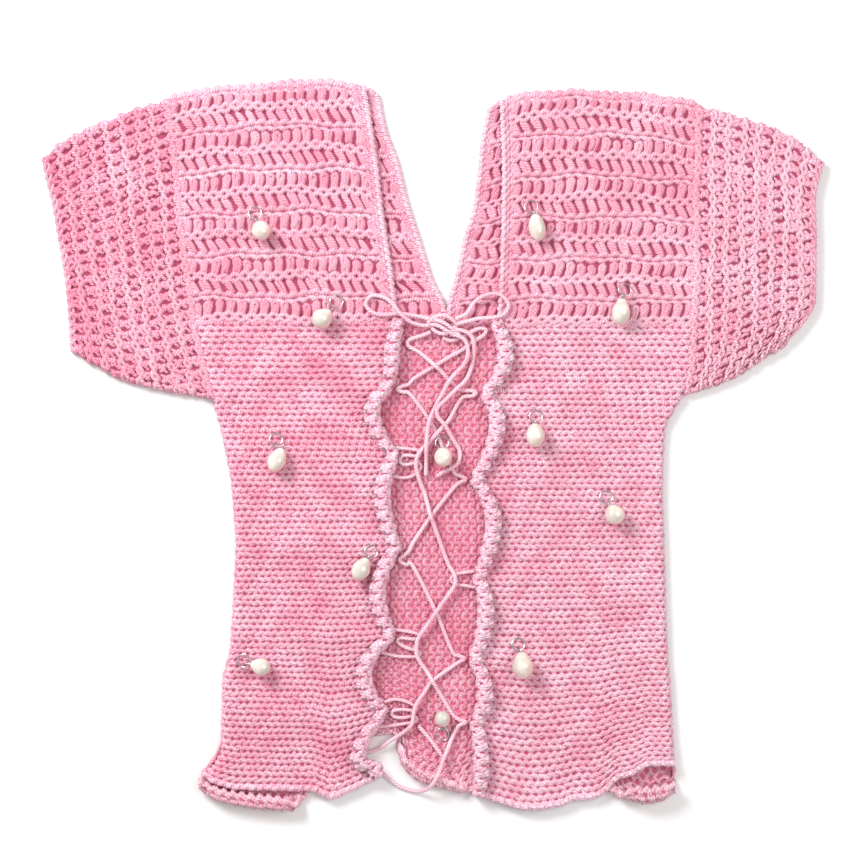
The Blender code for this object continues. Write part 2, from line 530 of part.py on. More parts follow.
def make_back():
    """The back: columns from the yoke seam down to the rolled hem, from one side fold to the other."""
    top = min(YOKE_SEAM_LEFT, YOKE_SEAM_RIGHT) - GAP / 2
    first, last = BACK_HEM[0], BACK_HEM[-1]
    width = last.x - first.x
    columns = [(0.0, first), (0.3 * EDGE_ROUND, first), (EDGE_ROUND, first)]
    columns += [(row.x - first.x, row) for row in BACK_HEM[1:-1]]
    columns += [(width - EDGE_ROUND, last), (width - 0.3 * EDGE_ROUND, last), (width, last)]
    upper, lower = [], []
    for distance, row in columns:
        section = back_section(top, row)
        heading = section[:, 2]
        edge = min(distance, width - distance)
        rounding = KNIT_WALL * 0.8 * quarter_round(edge, EDGE_ROUND)
        pair = []
        for offset in (KNIT_WALL / 2, -KNIT_WALL / 2 + rounding):
            y = section[:, 0] + offset * np.sin(heading)
            z = section[:, 1] + offset * np.cos(heading)
            left = side_line(ARMHOLE_LEFT, SIDE_LEFT)(y)
            right = side_line(ARMHOLE_RIGHT, SIDE_RIGHT)(y)
            x = left + (right - left) * distance / width
            pair.append(np.stack((x, y, z), axis=1))
        upper.append(pair[0])
        lower.append(pair[1])
    return add_wall("back_body", np.array(upper), np.array(lower), INSIDE_FINISH)


def crochet_shares(rows, trim):
    """Places of a panel's rings along its crochet rows: three in each row, and a rounded end from trim on."""
    shares = [(row + part) / rows for row in range(rows) for part in (0.0, CHAIN_SHARE, 1 - CHAIN_SHARE)]
    return [share for share in shares if share < 1 - trim]


def chain_rise(share, rows):
    """How far the chain of a crochet row stands proud, from 0 to 1: full at each row's start."""
    phase = (share * rows) % 1.0
    return np.clip(1 - np.minimum(phase, 1 - phase) / CHAIN_SHARE, 0, 1)


def yoke_grid(armhole, neck, shoulder, seam, shares, columns):
    """Places of a yoke half's points: shares up it from the seam, and distances across it from the armhole."""
    grid = np.zeros((len(shares), len(columns), 3))
    rising = sorted(armhole)
    for j, share in enumerate(shares):
        outer_y = seam + share * (follow(shoulder, rising[-1][1]) - seam)
        inner_y = seam + share * (follow(shoulder, neck[0][1]) - seam)
        start = np.interp(outer_y, [row[0] for row in rising], [row[1] for row in rising])
        end = follow(neck, inner_y)
        direction = np.sign(end - start)
        width = abs(end - start) - GAP / 2
        across = np.array([c * width if kind == "share" else width - c for kind, c in columns])
        x = start + direction * (GAP / 2 + across)
        y = seam + share * (follow(shoulder, x) - seam)
        grid[j] = np.stack((x, y, across / width), axis=1)
    return grid


def make_front_yoke(name, armhole, neck, shoulder, seam):
    """Front half of a yoke: crochet rows across it, a rounded shoulder and an edging along the neck."""
    height = max(row[1] for row in shoulder) - seam
    trim = EDGE_ROUND / height
    shares = crochet_shares(YOKE_ROWS, trim) + [1 - trim, 1 - 0.3 * trim, 1.0]
    columns = (("share", 0.0), ("share", 0.33), ("share", 0.66), ("from neck", EDGING_VALLEY),
               ("from neck", EDGING_CREST), ("from neck", 0.3 * EDGE_ROUND), ("from neck", 0.0))
    edging = np.array([0, 0, 0, 0, EDGING_RISE, 0, -0.7 * FRONT_YOKE_WALL])
    rows_show = np.array([1, 1, 1, 0.6, 0, 0, 0])
    grid = yoke_grid(armhole, neck, shoulder, seam + GAP / 2, shares, columns)
    shares = np.array(shares)
    rise = FRONT_CHAIN * chain_rise(shares, YOKE_ROWS)
    rise = np.where(shares > 1 - trim, 0, rise)
    fall = 0.8 * FRONT_YOKE_WALL * quarter_round((1 - shares) * height, EDGE_ROUND)
    relief = rise[:, None] * rows_show[None, :] + np.maximum(edging[None, :] - fall[:, None], -0.8 * FRONT_YOKE_WALL)
    grid[:, :, 2] = FRONT_YOKE_LEVEL + FRONT_YOKE_WALL + relief
    return add_plate(name, grid, FRONT_YOKE_LEVEL, CROCHET_FINISH)


def make_back_yoke(name, armhole, neck, shoulder, seam):
    """Back half of a yoke, inside up: crochet rows, and an underside that rounds up to the shoulder."""
    height = max(row[1] for row in shoulder) - seam
    trim = EDGE_ROUND / height
    shares = crochet_shares(YOKE_ROWS, trim) + [1 - trim, 1 - 0.3 * trim, 1.0]
    columns = (("share", 0.0), ("share", 0.45), ("from neck", 0.3 * EDGE_ROUND), ("from neck", 0.0))
    grid = yoke_grid(armhole, neck, shoulder, seam + GAP / 2, shares, columns)
    shares = np.array(shares)
    rise = BACK_CHAIN * chain_rise(shares, YOKE_ROWS)
    rise = np.where(shares > 1 - trim, 0, rise)
    upper = grid.copy()
    edge_drop = np.array([0, 0, 0.3, 0.9])
    upper[:, :, 2] = BACK_YOKE_WALL + rise[:, None] * np.array([1, 1, 0.5, 0])[None, :] - edge_drop[None, :]
    lower = grid.copy()
    fall = 0.75 * BACK_YOKE_WALL * quarter_round((1 - shares) * height, EDGE_ROUND)
    lower[:, :, 2] = np.minimum(fall[:, None], upper[:, :, 2] - 0.4)
    return add_wall(name, upper, lower, CROCHET_FINISH)


def coons(s, w, start, end, low, high):
    """Point of the patch between four edges: s runs from start to end, w from high (the upper fold) to low."""
    corners = (
        (1 - s) * (1 - w) * start(0.0) + (1 - s) * w * start(1.0) + s * (1 - w) * end(0.0) + s * w * end(1.0)
    )
    return (1 - w) * high(s) + w * low(s) + (1 - s) * start(w) + s * end(w) - corners


def edge_by_y(table, straight):
    """An edge given by rows of (y, x), as a function of its share from the top down."""
    rising = sorted(table)
    high = rising[-1][0]
    low = rising[0][0]

    def place(share):
        y = high + (low - high) * share
        x = np.interp(y, [row[0] for row in rising], [row[1] for row in rising]) if straight else follow(table, y)
        return np.array([x, y])

    return place


def edge_by_x(table, start_x, end_x):
    """An edge given by rows of (x, y), as a function of its share from start_x to end_x."""

    def place(share):
        x = start_x + (end_x - start_x) * share
        return np.array([x, follow(table, x)])

    return place


def make_sleeve(name, armhole, cuff, upper_fold, under_fold, direction):
    """A flattened tube from the armhole to the cuff: an outer skin with crochet rows, and a plain inner one."""
    start = edge_by_y(armhole, True)
    end = edge_by_y(cuff, False)
    high = edge_by_x(upper_fold, start(0.0)[0], end(0.0)[0])
    low = edge_by_x(under_fold, start(1.0)[0], end(1.0)[0])
    middle = SLEEVE_HEIGHT / 2
    top, bottom = armhole[0][0], armhole[-1][0]
    corners = [(top - row[0]) / (top - bottom) for row in armhole[1:-1]]
    shares = crochet_shares(SLEEVE_ROWS, 0.0) + [1.0]
    inner_shares = (0.0, 0.25, 0.5, 0.75, 1.0)
    points, faces = [], []

    def ring(share, fold, wall, rise):
        """Points once round the tube, from the upper fold over the top to the lower fold and back underneath."""
        length = np.linalg.norm(coons(share, 1.0, start, end, low, high) - coons(share, 0.0, start, end, low, high))
        near = [(wall, 0.0), (wall + 0.29 * fold, 0.71), (wall + fold, 1.0)]
        across = [(d / length, h) for d, h in near] + [(corner, 1.0) for corner in corners]
        across += [(1 - d / length, h) for d, h in near[::-1]]
        under = [(1 - d / length, -h) for d, h in near[1:]] + [(corner, -1.0) for corner in corners[::-1]]
        under += [(d / length, -h) for d, h in near[:0:-1]]
        places = []
        for w, h in across + under:
            xy = coons(share, w, start, end, low, high)
            x = xy[0] + direction * GAP / 2 * (1 - share)
            z = middle + h * fold + (rise if h > 0.9 else 0.0)
            places.append((x, xy[1], z))
        return places

    rise_at = [SLEEVE_CHAIN * float(chain_rise(np.array(share), SLEEVE_ROWS)) for share in shares]
    outer = [ring(share, SLEEVE_FOLD, 0.0, rise) for share, rise in zip(shares, rise_at)]
    inner = [ring(share, SLEEVE_FOLD - SLEEVE_WALL, SLEEVE_WALL, 0.0) for share in inner_shares]
    around = len(outer[0])
    for skin in (outer, inner):
        first = len(points)
        points += [place for row in skin for place in row]
        for j in range(len(skin) - 1):
            for i in range(around):
                n = (i + 1) % around
                a = first + j * around
                b = a + around
                faces.append((a + i, a + n, b + n, b + i))
    inner_first = len(outer) * around
    for outer_row, inner_row in ((0, 0), (len(outer) - 1, len(inner) - 1)):
        a = outer_row * around
        b = inner_first + inner_row * around
        for i in range(around):
            n = (i + 1) % around
            faces.append((a + i, b + i, b + n, a + n))
    return add_mesh(name, points, faces, CROCHET_FINISH)


def smooth_route(waypoints, step):
    """Points about a step apart on the smooth curve through the waypoints, read from Catmull-Rom spans."""
    way = np.array(waypoints, dtype=float)
    ends = np.concatenate(([2 * way[0] - way[1]], way, [2 * way[-1] - way[-2]]))
    dense = []
    for k in range(len(way) - 1):
        p0, p1, p2, p3 = ends[k : k + 4]
        t = np.linspace(0, 1, 12, endpoint=False)[:, None]
        dense.append(
            0.5 * (2 * p1 + (p2 - p0) * t + (2 * p0 - 5 * p1 + 4 * p2 - p3) * t**2 + (3 * p1 - p0 - 3 * p2 + p3) * t**3)
        )
    dense = np.concatenate(dense + [way[-1:]])
    travelled = np.concatenate(([0.0], np.cumsum(np.linalg.norm(np.diff(dense, axis=0), axis=1))))
    count = max(3, round(travelled[-1] / step) + 1)
    even = np.linspace(0, travelled[-1], count)
    route = np.stack([np.interp(even, travelled, dense[:, axis]) for axis in range(3)], axis=1)
    route[:, 2] = np.maximum(route[:, 2], FLOOR)
    return route


def make_lace(row):
    """A round cord along its route, with closed ends."""
    curve = bpy.data.curves.new(row.name, "CURVE")
    curve.dimensions = "3D"
    curve.bevel_depth = row.diameter / 2 * MM
    curve.bevel_resolution = 2
    curve.use_fill_caps = True
    route = smooth_route(row.route, LACE_POINT_STEP)
    spline = curve.splines.new("POLY")
    spline.points.add(len(route) - 1)
    for point, place in zip(spline.points, route):
        point.co = placed(place) + (1.0,)
    item = bpy.data.objects.new(row.name, curve)
    bpy.context.scene.collection.objects.link(item)
    dress(item, LACE_FINISH)
    return item


def closed_turn(name, profile, frame, segments, finish):
    """Turned body: profile rows of (along, radius) from pole to pole, in a frame of (origin, along, side, up)."""
    origin, along, side, up = (np.array(v, dtype=float) for v in frame)
    points = [origin + along * profile[0][0]]
    for place, radius in profile[1:-1]:
        for k in range(segments):
            angle = 2 * math.pi * k / segments
            points.append(origin + along * place + radius * (math.cos(angle) * side + math.sin(angle) * up))
    points.append(origin + along * profile[-1][0])
    last = len(points) - 1
    rings = len(profile) - 2
    faces = []
    for k in range(segments):
        n = (k + 1) % segments
        faces.append((0, 1 + n, 1 + k))
        for j in range(rings - 1):
            a = 1 + j * segments
            faces.append((a + k, a + n, a + segments + n, a + segments + k))
        faces.append((last - segments + k, last - segments + n, last))
    return add_mesh(name, points, faces, finish, smooth_angle=80)


def make_pearl(number, row):
    """A pearl lying on its side, rounder at one end, and just clear of what it lies on."""
    angles = np.linspace(0, math.pi, PEARL_RINGS + 2)
    along = -row.length / 2 * np.cos(angles)
    radius = np.sin(angles) * (1 - row.taper * np.clip(-np.cos(angles), 0, 1))
    radius = row.width / 2 * radius / radius.max()
    heading = math.radians(row.heading)
    centre = (row.x, row.y, row.seat + GAP + row.width / 2)
    frame = (centre, (math.cos(heading), math.sin(heading), 0), (-math.sin(heading), math.cos(heading), 0), (0, 0, 1))
    profile = list(zip(along, radius))
    return closed_turn("pearl_%02d" % number, profile, frame, PEARL_SEGMENTS, PEARL_FINISH)


def make_ring(number, row):
    """The round wire ring that a pearl hangs from, lying flat."""
    points, faces = [], []
    level = row.ring_seat + GAP + RING_WIRE
    for k in range(RING_SEGMENTS):
        turn = 2 * math.pi * k / RING_SEGMENTS
        for m in range(WIRE_SEGMENTS):
            wire = 2 * math.pi * m / WIRE_SEGMENTS
            radius = RING_RADIUS + RING_WIRE * math.cos(wire)
            points.append((
                row.ring_x + radius * math.cos(turn),
                row.ring_y + radius * math.sin(turn),
                level + RING_WIRE * math.sin(wire),
            ))
            a = k * WIRE_SEGMENTS
            b = (k + 1) % RING_SEGMENTS * WIRE_SEGMENTS
            n = (m + 1) % WIRE_SEGMENTS
            faces.append((a + m, b + m, b + n, a + n))
    return add_mesh("ring_%02d" % number, points, faces, SILVER_FINISH, smooth_angle=95)


def make_knot():
    """The bow's knot, a rounded lump."""
    profile = [(-math.cos(a), math.sin(a)) for a in np.linspace(0, math.pi, 7)]
    frame = (KNOT_CENTRE, (KNOT_HALF[0], 0, 0), (0, KNOT_HALF[1], 0), (0, 0, KNOT_HALF[2]))
    return closed_turn("bow_knot", profile, frame, 10, LACE_FINISH)


def main():
    """Builds every piece of the top."""
    clear_scene()
    make_back()
    make_front("front_left", side_line(ARMHOLE_LEFT, SIDE_LEFT), SCALLOPS_LEFT, HEM_FRONT_LEFT, YOKE_SEAM_LEFT, 1)
    make_front("front_right", side_line(ARMHOLE_RIGHT, SIDE_RIGHT), SCALLOPS_RIGHT, HEM_FRONT_RIGHT, YOKE_SEAM_RIGHT, -1)
    make_back_yoke("yoke_back_left", ARMHOLE_LEFT, NECK_BACK_LEFT, SHOULDER_LEFT, YOKE_SEAM_LEFT)
    make_back_yoke("yoke_back_right", ARMHOLE_RIGHT, NECK_BACK_RIGHT, SHOULDER_RIGHT, YOKE_SEAM_RIGHT)
    make_front_yoke("yoke_front_left", ARMHOLE_LEFT, NECK_FRONT_LEFT, SHOULDER_LEFT, YOKE_SEAM_LEFT)
    make_front_yoke("yoke_front_right", ARMHOLE_RIGHT, NECK_FRONT_RIGHT, SHOULDER_RIGHT, YOKE_SEAM_RIGHT)
    make_sleeve("sleeve_left", ARMHOLE_LEFT, CUFF_LEFT, SLEEVE_TOP_LEFT, SLEEVE_UNDER_LEFT, -1)
    make_sleeve("sleeve_right", ARMHOLE_RIGHT, CUFF_RIGHT, SLEEVE_TOP_RIGHT, SLEEVE_UNDER_RIGHT, 1)
    for row in LACES:
        make_lace(row)
    make_knot()
    for number, row in enumerate(PEARLS, start=1):
        make_pearl(number, row)
        make_ring(number, row)


main()
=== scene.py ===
"""Looks of a short-sleeved top, knitted and crocheted, laid flat with its front up and laced up the middle.

Sizes are in millimetres in the tables and in metres in the meshes. X runs to the viewer's right, Y
towards the neck and Z up from the ground. Left and right are the viewer's."""

import logging
import math
from dataclasses import astuple, dataclass, field, replace
from enum import Enum
from typing import Any, Callable, ClassVar, Sequence

import bpy
import numpy as np
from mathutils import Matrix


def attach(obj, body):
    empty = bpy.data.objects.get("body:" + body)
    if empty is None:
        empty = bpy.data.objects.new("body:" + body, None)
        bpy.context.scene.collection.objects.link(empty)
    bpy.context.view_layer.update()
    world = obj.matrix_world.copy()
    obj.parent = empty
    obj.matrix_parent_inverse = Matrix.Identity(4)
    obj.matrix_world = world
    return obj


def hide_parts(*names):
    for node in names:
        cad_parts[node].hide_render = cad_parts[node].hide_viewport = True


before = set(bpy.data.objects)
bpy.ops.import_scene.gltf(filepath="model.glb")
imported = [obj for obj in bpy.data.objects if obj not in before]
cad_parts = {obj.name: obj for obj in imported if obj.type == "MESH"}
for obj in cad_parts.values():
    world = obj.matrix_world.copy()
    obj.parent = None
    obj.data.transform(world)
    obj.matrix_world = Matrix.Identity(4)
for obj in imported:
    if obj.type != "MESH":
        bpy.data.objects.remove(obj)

log = logging.getLogger("crochet_top")

MM = 0.001
MIDDLE = np.array([-0.25, -0.24, 0.0])
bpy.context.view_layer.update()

Table = Sequence[tuple[float, float]]
Spans = Sequence[tuple[float, float, int]]
Places = tuple[tuple[float, float, float], ...]
Colour = tuple[float, float, float, float]
Values = dict[Any, Any] | None
Pair = tuple[float, float]
Line = Callable[[Any], Any]
Shares = Callable[[np.ndarray, np.ndarray], tuple[np.ndarray, np.ndarray]]
Put = Callable[[np.ndarray, np.ndarray, np.ndarray], np.ndarray]


@dataclass(frozen=True)
class Build:
    """Sizes that several pieces share, in millimetres."""

    gap: float = 0.3
    knit_wall: float = 2.6
    front_level: float = 2.9
    yoke_level: float = 3.2
    front_yoke_wall: float = 2.4
    back_yoke_wall: float = 2.3
    fold_radius: float = 2.4
    fold_ease: float = 14.0
    curl_pinch: float = 2.2
    curl_belly: float = 3.3
    curl_turn: float = math.radians(245)
    yoke_rows: int = 11
    sleeve_rows: int = 8
    sleeve_height: float = 6.2
    sleeve_wall: float = 2.7
    lace_diameter: float = 2.6
    loop_diameter: float = 2.2
    lowest_yarn: float = 0.04


BUILD = Build()


# Outlines


@dataclass(frozen=True)
class Outline:
    """Lines of the garment on one side, from above: rows of (y, x), or of (x, y) where a name says across."""

    armhole: Table
    side: Table
    neck_front: Table
    neck_back: Table
    shoulder_across: Table
    hem_across: Table
    cuff: Table
    sleeve_top_across: Table
    sleeve_under_across: Table
    seam: float
    toward: int


LEFT = Outline(
    armhole=((216, -165), (128, -155.5), (79, -149.5), (50, -142.5), (29.5, -137)),
    side=(
        (29.5, -137), (19.5, -135), (10, -132), (-2, -129.5), (-21, -126), (-64, -123), (-95, -124.5),
        (-126, -126.5), (-145, -131), (-182, -132), (-194.5, -137.5), (-204, -144.5), (-214, -145),
        (-224, -141),
    ),
    neck_front=((223, -43), (176.5, -35.5), (145, -32), (113, -27), (79, -23)),
    neck_back=((220, -35), (196, -30), (177.5, -23), (153, -17), (128, -9), (103, -1), (91, 5), (79, 8.3)),
    shoulder_across=(
        (-165, 215.5), (-138, 221), (-107.5, 224), (-83, 225.5), (-58, 225), (-43, 222.5), (-34, 218.5),
    ),
    hem_across=(
        (-146, -201), (-136, -208), (-122, -212), (-86, -213), (-76, -213), (-64, -218), (-52, -213.5),
        (-38, -206.5), (-30, -202),
    ),
    cuff=(
        (179.5, -242), (165, -239), (153, -236), (128, -231.5), (103, -227.5), (84.5, -225.5), (58.5, -224),
    ),
    sleeve_top_across=(
        (-242, 179.5), (-229.5, 190), (-216, 197), (-202, 203), (-189, 208.5), (-165, 215.5),
    ),
    sleeve_under_across=(
        (-224, 58.5), (-215.5, 53.5), (-204.5, 47.5), (-193, 42), (-168.5, 35), (-137, 29.5),
    ),
    seam=79.0,
    toward=1,
)
RIGHT = Outline(
    armhole=((212, 164), (118, 163), (77.5, 162), (50, 160.5), (32, 155.5)),
    side=(
        (32, 155.5), (22.5, 149.5), (10, 144), (-27, 142.5), (-64, 143.5), (-126, 145.5), (-145, 147),
        (-182, 149), (-203, 150), (-213, 149.5), (-222, 146),
    ),
    neck_front=((214, 42), (170, 43.5), (101, 42), (77, 40)),
    neck_back=(
        (211, 35), (190, 30.5), (165, 28), (146.5, 25), (128, 19.5), (103, 14), (90, 10), (77.5, 8.7),
    ),
    shoulder_across=((34, 209.5), (42, 213.5), (60, 218), (103, 219.5), (146, 215), (164, 211.5)),
    hem_across=(
        (24, -215.5), (35, -218.5), (60, -225), (78.5, -222.5), (87.5, -219), (100, -218), (106, -214),
        (114, -206), (123, -203), (134, -197), (150, -197),
    ),
    cuff=((177, 241.5), (165, 238), (153, 236), (128, 236.5), (91, 236), (77, 229), (65, 218)),
    sleeve_top_across=((164, 211.5), (177, 208.5), (198, 202.5), (215, 196), (226, 190), (241.5, 177)),
    sleeve_under_across=((155.5, 32), (179.5, 40), (192, 46.5), (201, 53), (213, 60), (218, 65)),
    seam=77.5,
    toward=-1,
)


@dataclass(frozen=True)
class Scallop:
    """One scallop of a curled edge: the pinch where it starts and the belly it falls back to."""

    pinch_y: float
    pinch_x: float
    belly_y: float
    belly_x: float


SCALLOPS_LEFT = tuple(Scallop(*row) for row in (
    (79.0, -18.5, 56.0, -21.5), (37.5, -25.5, 22.0, -34.0), (-5.0, -21.5, -29.0, -27.5),
    (-62.5, -20.5, -90.0, -30.5), (-117.0, -23.5, -139.0, -39.0), (-164.0, -28.0, -187.0, -42.5),
    (-195.0, -33.0, -198.5, -31.8), (-202.0, -31.0, -202.0, -31.0),
))
SCALLOPS_RIGHT = tuple(Scallop(*row) for row in (
    (77.5, 36.0, 56.0, 40.5), (33.0, 29.5, 15.0, 35.5), (-20.0, 23.0, -46.0, 33.0),
    (-81.5, 25.0, -101.0, 28.5), (-131.5, 22.5, -152.0, 28.0), (-171.0, 23.5, -195.0, 25.5),
    (-215.5, 24.5, -215.5, 24.5),
))


@dataclass(frozen=True)
class HemRoll:
    """The back's hem at one place across: outline, the cloth's length in its roll, turn in degrees."""

    x: float
    outline: float
    length: float
    turn: float


BACK_HEM = tuple(HemRoll(*row) for row in (
    (-145.0, -211.0, 11.0, 190), (-136.0, -219.0, 15.0, 225), (-122.0, -223.5, 17.0, 238),
    (-104.0, -225.5, 17.0, 238), (-91.0, -226.0, 16.0, 225), (-86.0, -223.5, 9.0, 95),
    (-81.5, -219.0, 4.0, 0), (-74.0, -211.0, 4.0, 0), (-60.0, -200.0, 4.0, 0), (-48.0, -180.0, 4.0, 0),
    (-31.0, -178.0, 4.0, 0), (-27.0, -189.5, 6.0, 70), (-21.5, -198.0, 9.0, 190), (-9.0, -207.0, 11.5, 228),
    (4.0, -211.0, 11.5, 228), (14.0, -213.5, 9.5, 200), (19.0, -214.5, 5.0, 60), (23.0, -214.5, 5.0, 0),
    (60.0, -218.0, 5.0, 0), (98.0, -213.0, 5.0, 0), (108.0, -214.0, 5.0, 0), (116.0, -217.5, 10.0, 110),
    (123.0, -219.0, 18.0, 210), (134.0, -221.5, 20.0, 238), (143.0, -219.5, 19.0, 235),
    (149.5, -214.0, 14.0, 200),
))


@dataclass(frozen=True)
class Lift:
    """A soft swelling of a front: centre, half widths and height."""

    x: float
    y: float
    across: float
    along: float
    height: float


LIFTS = tuple(Lift(*row) for row in (
    (136, -196, 20, 16, 3.2), (-124, -206, 26, 12, 1.6), (-38, -203, 10, 9, 0.8), (62, -222, 22, 9, 1.4),
))


@dataclass(frozen=True)
class Crease:
    """A soft ridge, or a trough if its height is below 0: middle, direction, half sizes, height."""

    x: float
    y: float
    direction: float
    length: float
    width: float
    height: float


CREASES = tuple(Crease(*row) for row in (
    (-44, 36, 172, 20, 4.5, 0.9), (-46, 27, 185, 16, 4.0, -0.5), (-42, -4, 176, 22, 4.5, 0.8),
    (-44, -13, 190, 14, 4.0, -0.5), (-42, -62, 170, 24, 5.0, 0.9), (-46, -73, 188, 16, 4.5, -0.5),
    (-46, -116, 174, 24, 5.0, 0.8), (-54, -163, 186, 20, 5.0, 0.8), (50, 34, 6, 18, 4.5, 0.8),
    (46, -19, -5, 22, 5.0, 0.8), (48, -82, 8, 24, 5.0, 0.9), (44, -131, -4, 22, 5.0, 0.8),
    (46, -172, 7, 22, 5.0, 0.8), (-118, 40, 28, 22, 6.0, 0.9), (-112, 22, 36, 18, 5.0, -0.6),
    (136, 44, -32, 22, 6.0, 1.1), (128, 26, -42, 20, 6.0, -0.7), (-84, -60, 12, 40, 12.0, 0.7),
    (92, -88, -14, 44, 13.0, 0.7), (100, -176, 24, 30, 9.0, 0.9), (-96, -168, -10, 34, 10.0, 0.6),
))


# Shapes as functions


def follow(table: Table, at: Any) -> Any:
    """Value of the smooth line through rows of (place, value), with no overshoot.

    Each span is a cubic whose end slopes are the harmonic means of the slopes beside it.

    Args:
        table: rows of (place, value), in any order.
        at: one or more places.

    Returns:
        The value at each place.
    """
    rows = sorted(table)
    place = np.array([row[0] for row in rows], dtype=float)
    value = np.array([row[1] for row in rows], dtype=float)
    step = np.diff(place)
    slope = np.diff(value) / step
    product = slope[:-1] * slope[1:]
    total = np.where(product > 0, slope[:-1] + slope[1:], 1.0)
    tangent = np.concatenate(([slope[0]], np.where(product > 0, 2 * product / total, 0.0), [slope[-1]]))
    at = np.clip(at, place[0], place[-1])
    left = np.clip(np.searchsorted(place, at, side="right") - 1, 0, len(step) - 1)
    t = (at - place[left]) / step[left]
    return (
        (1 + 2 * t) * (1 - t) ** 2 * value[left]
        + t * (1 - t) ** 2 * step[left] * tangent[left]
        + t**2 * (3 - 2 * t) * value[left + 1]
        + t**2 * (t - 1) * step[left] * tangent[left + 1]
    )


def straight(table: Table, at: Any) -> Any:
    """Value at a place of the straight runs between rows of (place, value)."""
    rows = sorted(table)
    return np.interp(at, [row[0] for row in rows], [row[1] for row in rows])


def side_line(outline: Outline) -> Line:
    """Side of the body as a function of y: straight runs along the armhole, and a smooth line below it.

    Args:
        outline: the lines of one side of the garment.

    Returns:
        A function from y to x.
    """
    top = outline.side[0][0]
    inward = outline.toward * BUILD.gap / 2

    def place(y: Any) -> Any:
        """x of the side at y."""
        return np.where(np.asarray(y) > top, straight(outline.armhole, y), follow(outline.side, y)) + inward

    return place


def swell(x: np.ndarray, y: np.ndarray) -> np.ndarray:
    """Height of the fronts' lifts and creases at each place: each is a bell across and along its own line."""
    total = np.zeros(np.broadcast(x, y).shape)
    for lift in LIFTS:
        across, along = (x - lift.x) / lift.across, (y - lift.y) / lift.along
        total = total + lift.height * np.exp(-(across**2) - along**2)
    for crease in CREASES:
        turn = math.radians(crease.direction)
        along = (x - crease.x) * math.cos(turn) + (y - crease.y) * math.sin(turn)
        across = (y - crease.y) * math.cos(turn) - (x - crease.x) * math.sin(turn)
        bend = across + 0.004 * along**2
        total = total + crease.height * np.exp(-((along / crease.length) ** 2) - (bend / crease.width) ** 2)
    return total


def smooth_route(
    waypoints: Sequence[Sequence[float]], step: float, lowest: float = -math.inf
) -> np.ndarray:
    """Points evenly spaced on the smooth curve through the waypoints, each span a Catmull-Rom cubic.

    Args:
        waypoints: rows of (x, y, z).
        step: distance between points.
        lowest: no point lies below this height.

    Returns:
        The points, as rows of (x, y, z).
    """
    way = np.array(waypoints, dtype=float)
    ends = np.concatenate(([2 * way[0] - way[1]], way, [2 * way[-1] - way[-2]]))
    p0, p1, p2, p3 = (ends[k : k + len(way) - 1, None, :] for k in range(4))
    t = np.linspace(0, 1, 24, endpoint=False)[None, :, None]
    cubic = 2 * p1 + (p2 - p0) * t + (2 * p0 - 5 * p1 + 4 * p2 - p3) * t**2
    cubic = cubic + (3 * p1 - p0 - 3 * p2 + p3) * t**3
    dense = np.concatenate((0.5 * cubic.reshape(-1, 3), way[-1:]))
    travelled = np.concatenate(([0.0], np.cumsum(np.linalg.norm(np.diff(dense, axis=0), axis=1))))
    even = np.linspace(0, travelled[-1], max(3, round(travelled[-1] / step) + 1))
    route = np.stack([np.interp(even, travelled, dense[:, axis]) for axis in range(3)], axis=1)
    route[:, 2] = np.maximum(route[:, 2], lowest)
    return route


def spread(spans: Spans) -> np.ndarray:
    """Places of some spans, each evenly spaced from one place to another."""
    return np.concatenate([np.linspace(*span) for span in spans])


def unit(vectors: np.ndarray) -> np.ndarray:
    """The vectors, each made one long."""
    return vectors / np.maximum(np.linalg.norm(vectors, axis=-1, keepdims=True), 1e-9)


def tube_rings(lines: np.ndarray, radius: Any, sides: int, up: Sequence[float] = (0, 0, 1)) -> np.ndarray:
    """Round section carried along each line.

    A point of a ring is the line's point plus the radius times (cos of its angle along the side vector
    + sin along the raised one), where the side vector is the line's direction crossed with up.

    Args:
        lines: points of the lines, (lines, points, 3).
        radius: one radius, or one for each point.
        sides: corners of the section.
        up: a direction that no line runs along.

    Returns:
        Ring points, (lines, points, sides, 3).
    """
    ahead = unit(np.gradient(lines, axis=1))
    side = unit(np.cross(ahead, np.array(up, dtype=float)))
    raised = np.cross(side, ahead)
    angle = np.arange(sides) * 2 * math.pi / sides
    size = np.broadcast_to(np.asarray(radius, dtype=float), lines.shape[:2])[:, :, None, None]
    turned = np.cos(angle)[:, None] * side[:, :, None, :] + np.sin(angle)[:, None] * raised[:, :, None, :]
    return lines[:, :, None, :] + size * turned


def wander(strands: int, places: np.ndarray, seed: int, longest: float) -> np.ndarray:
    """Slow wandering of each strand between about -1 and 1: a sum of four sines, each with its own phase.

    Args:
        strands: how many strands.
        places: distance along a strand.
        seed: start of the random phases.
        longest: longest wave.

    Returns:
        Values, (strands, places).
    """
    phase = np.random.default_rng(seed).uniform(0, 2 * math.pi, (4, strands, 1))
    waves = [np.sin(2 * math.pi * places[None, :] * (k + 1) / longest + phase[k]) / (k + 1) for k in range(4)]
    return sum(waves) / 1.6


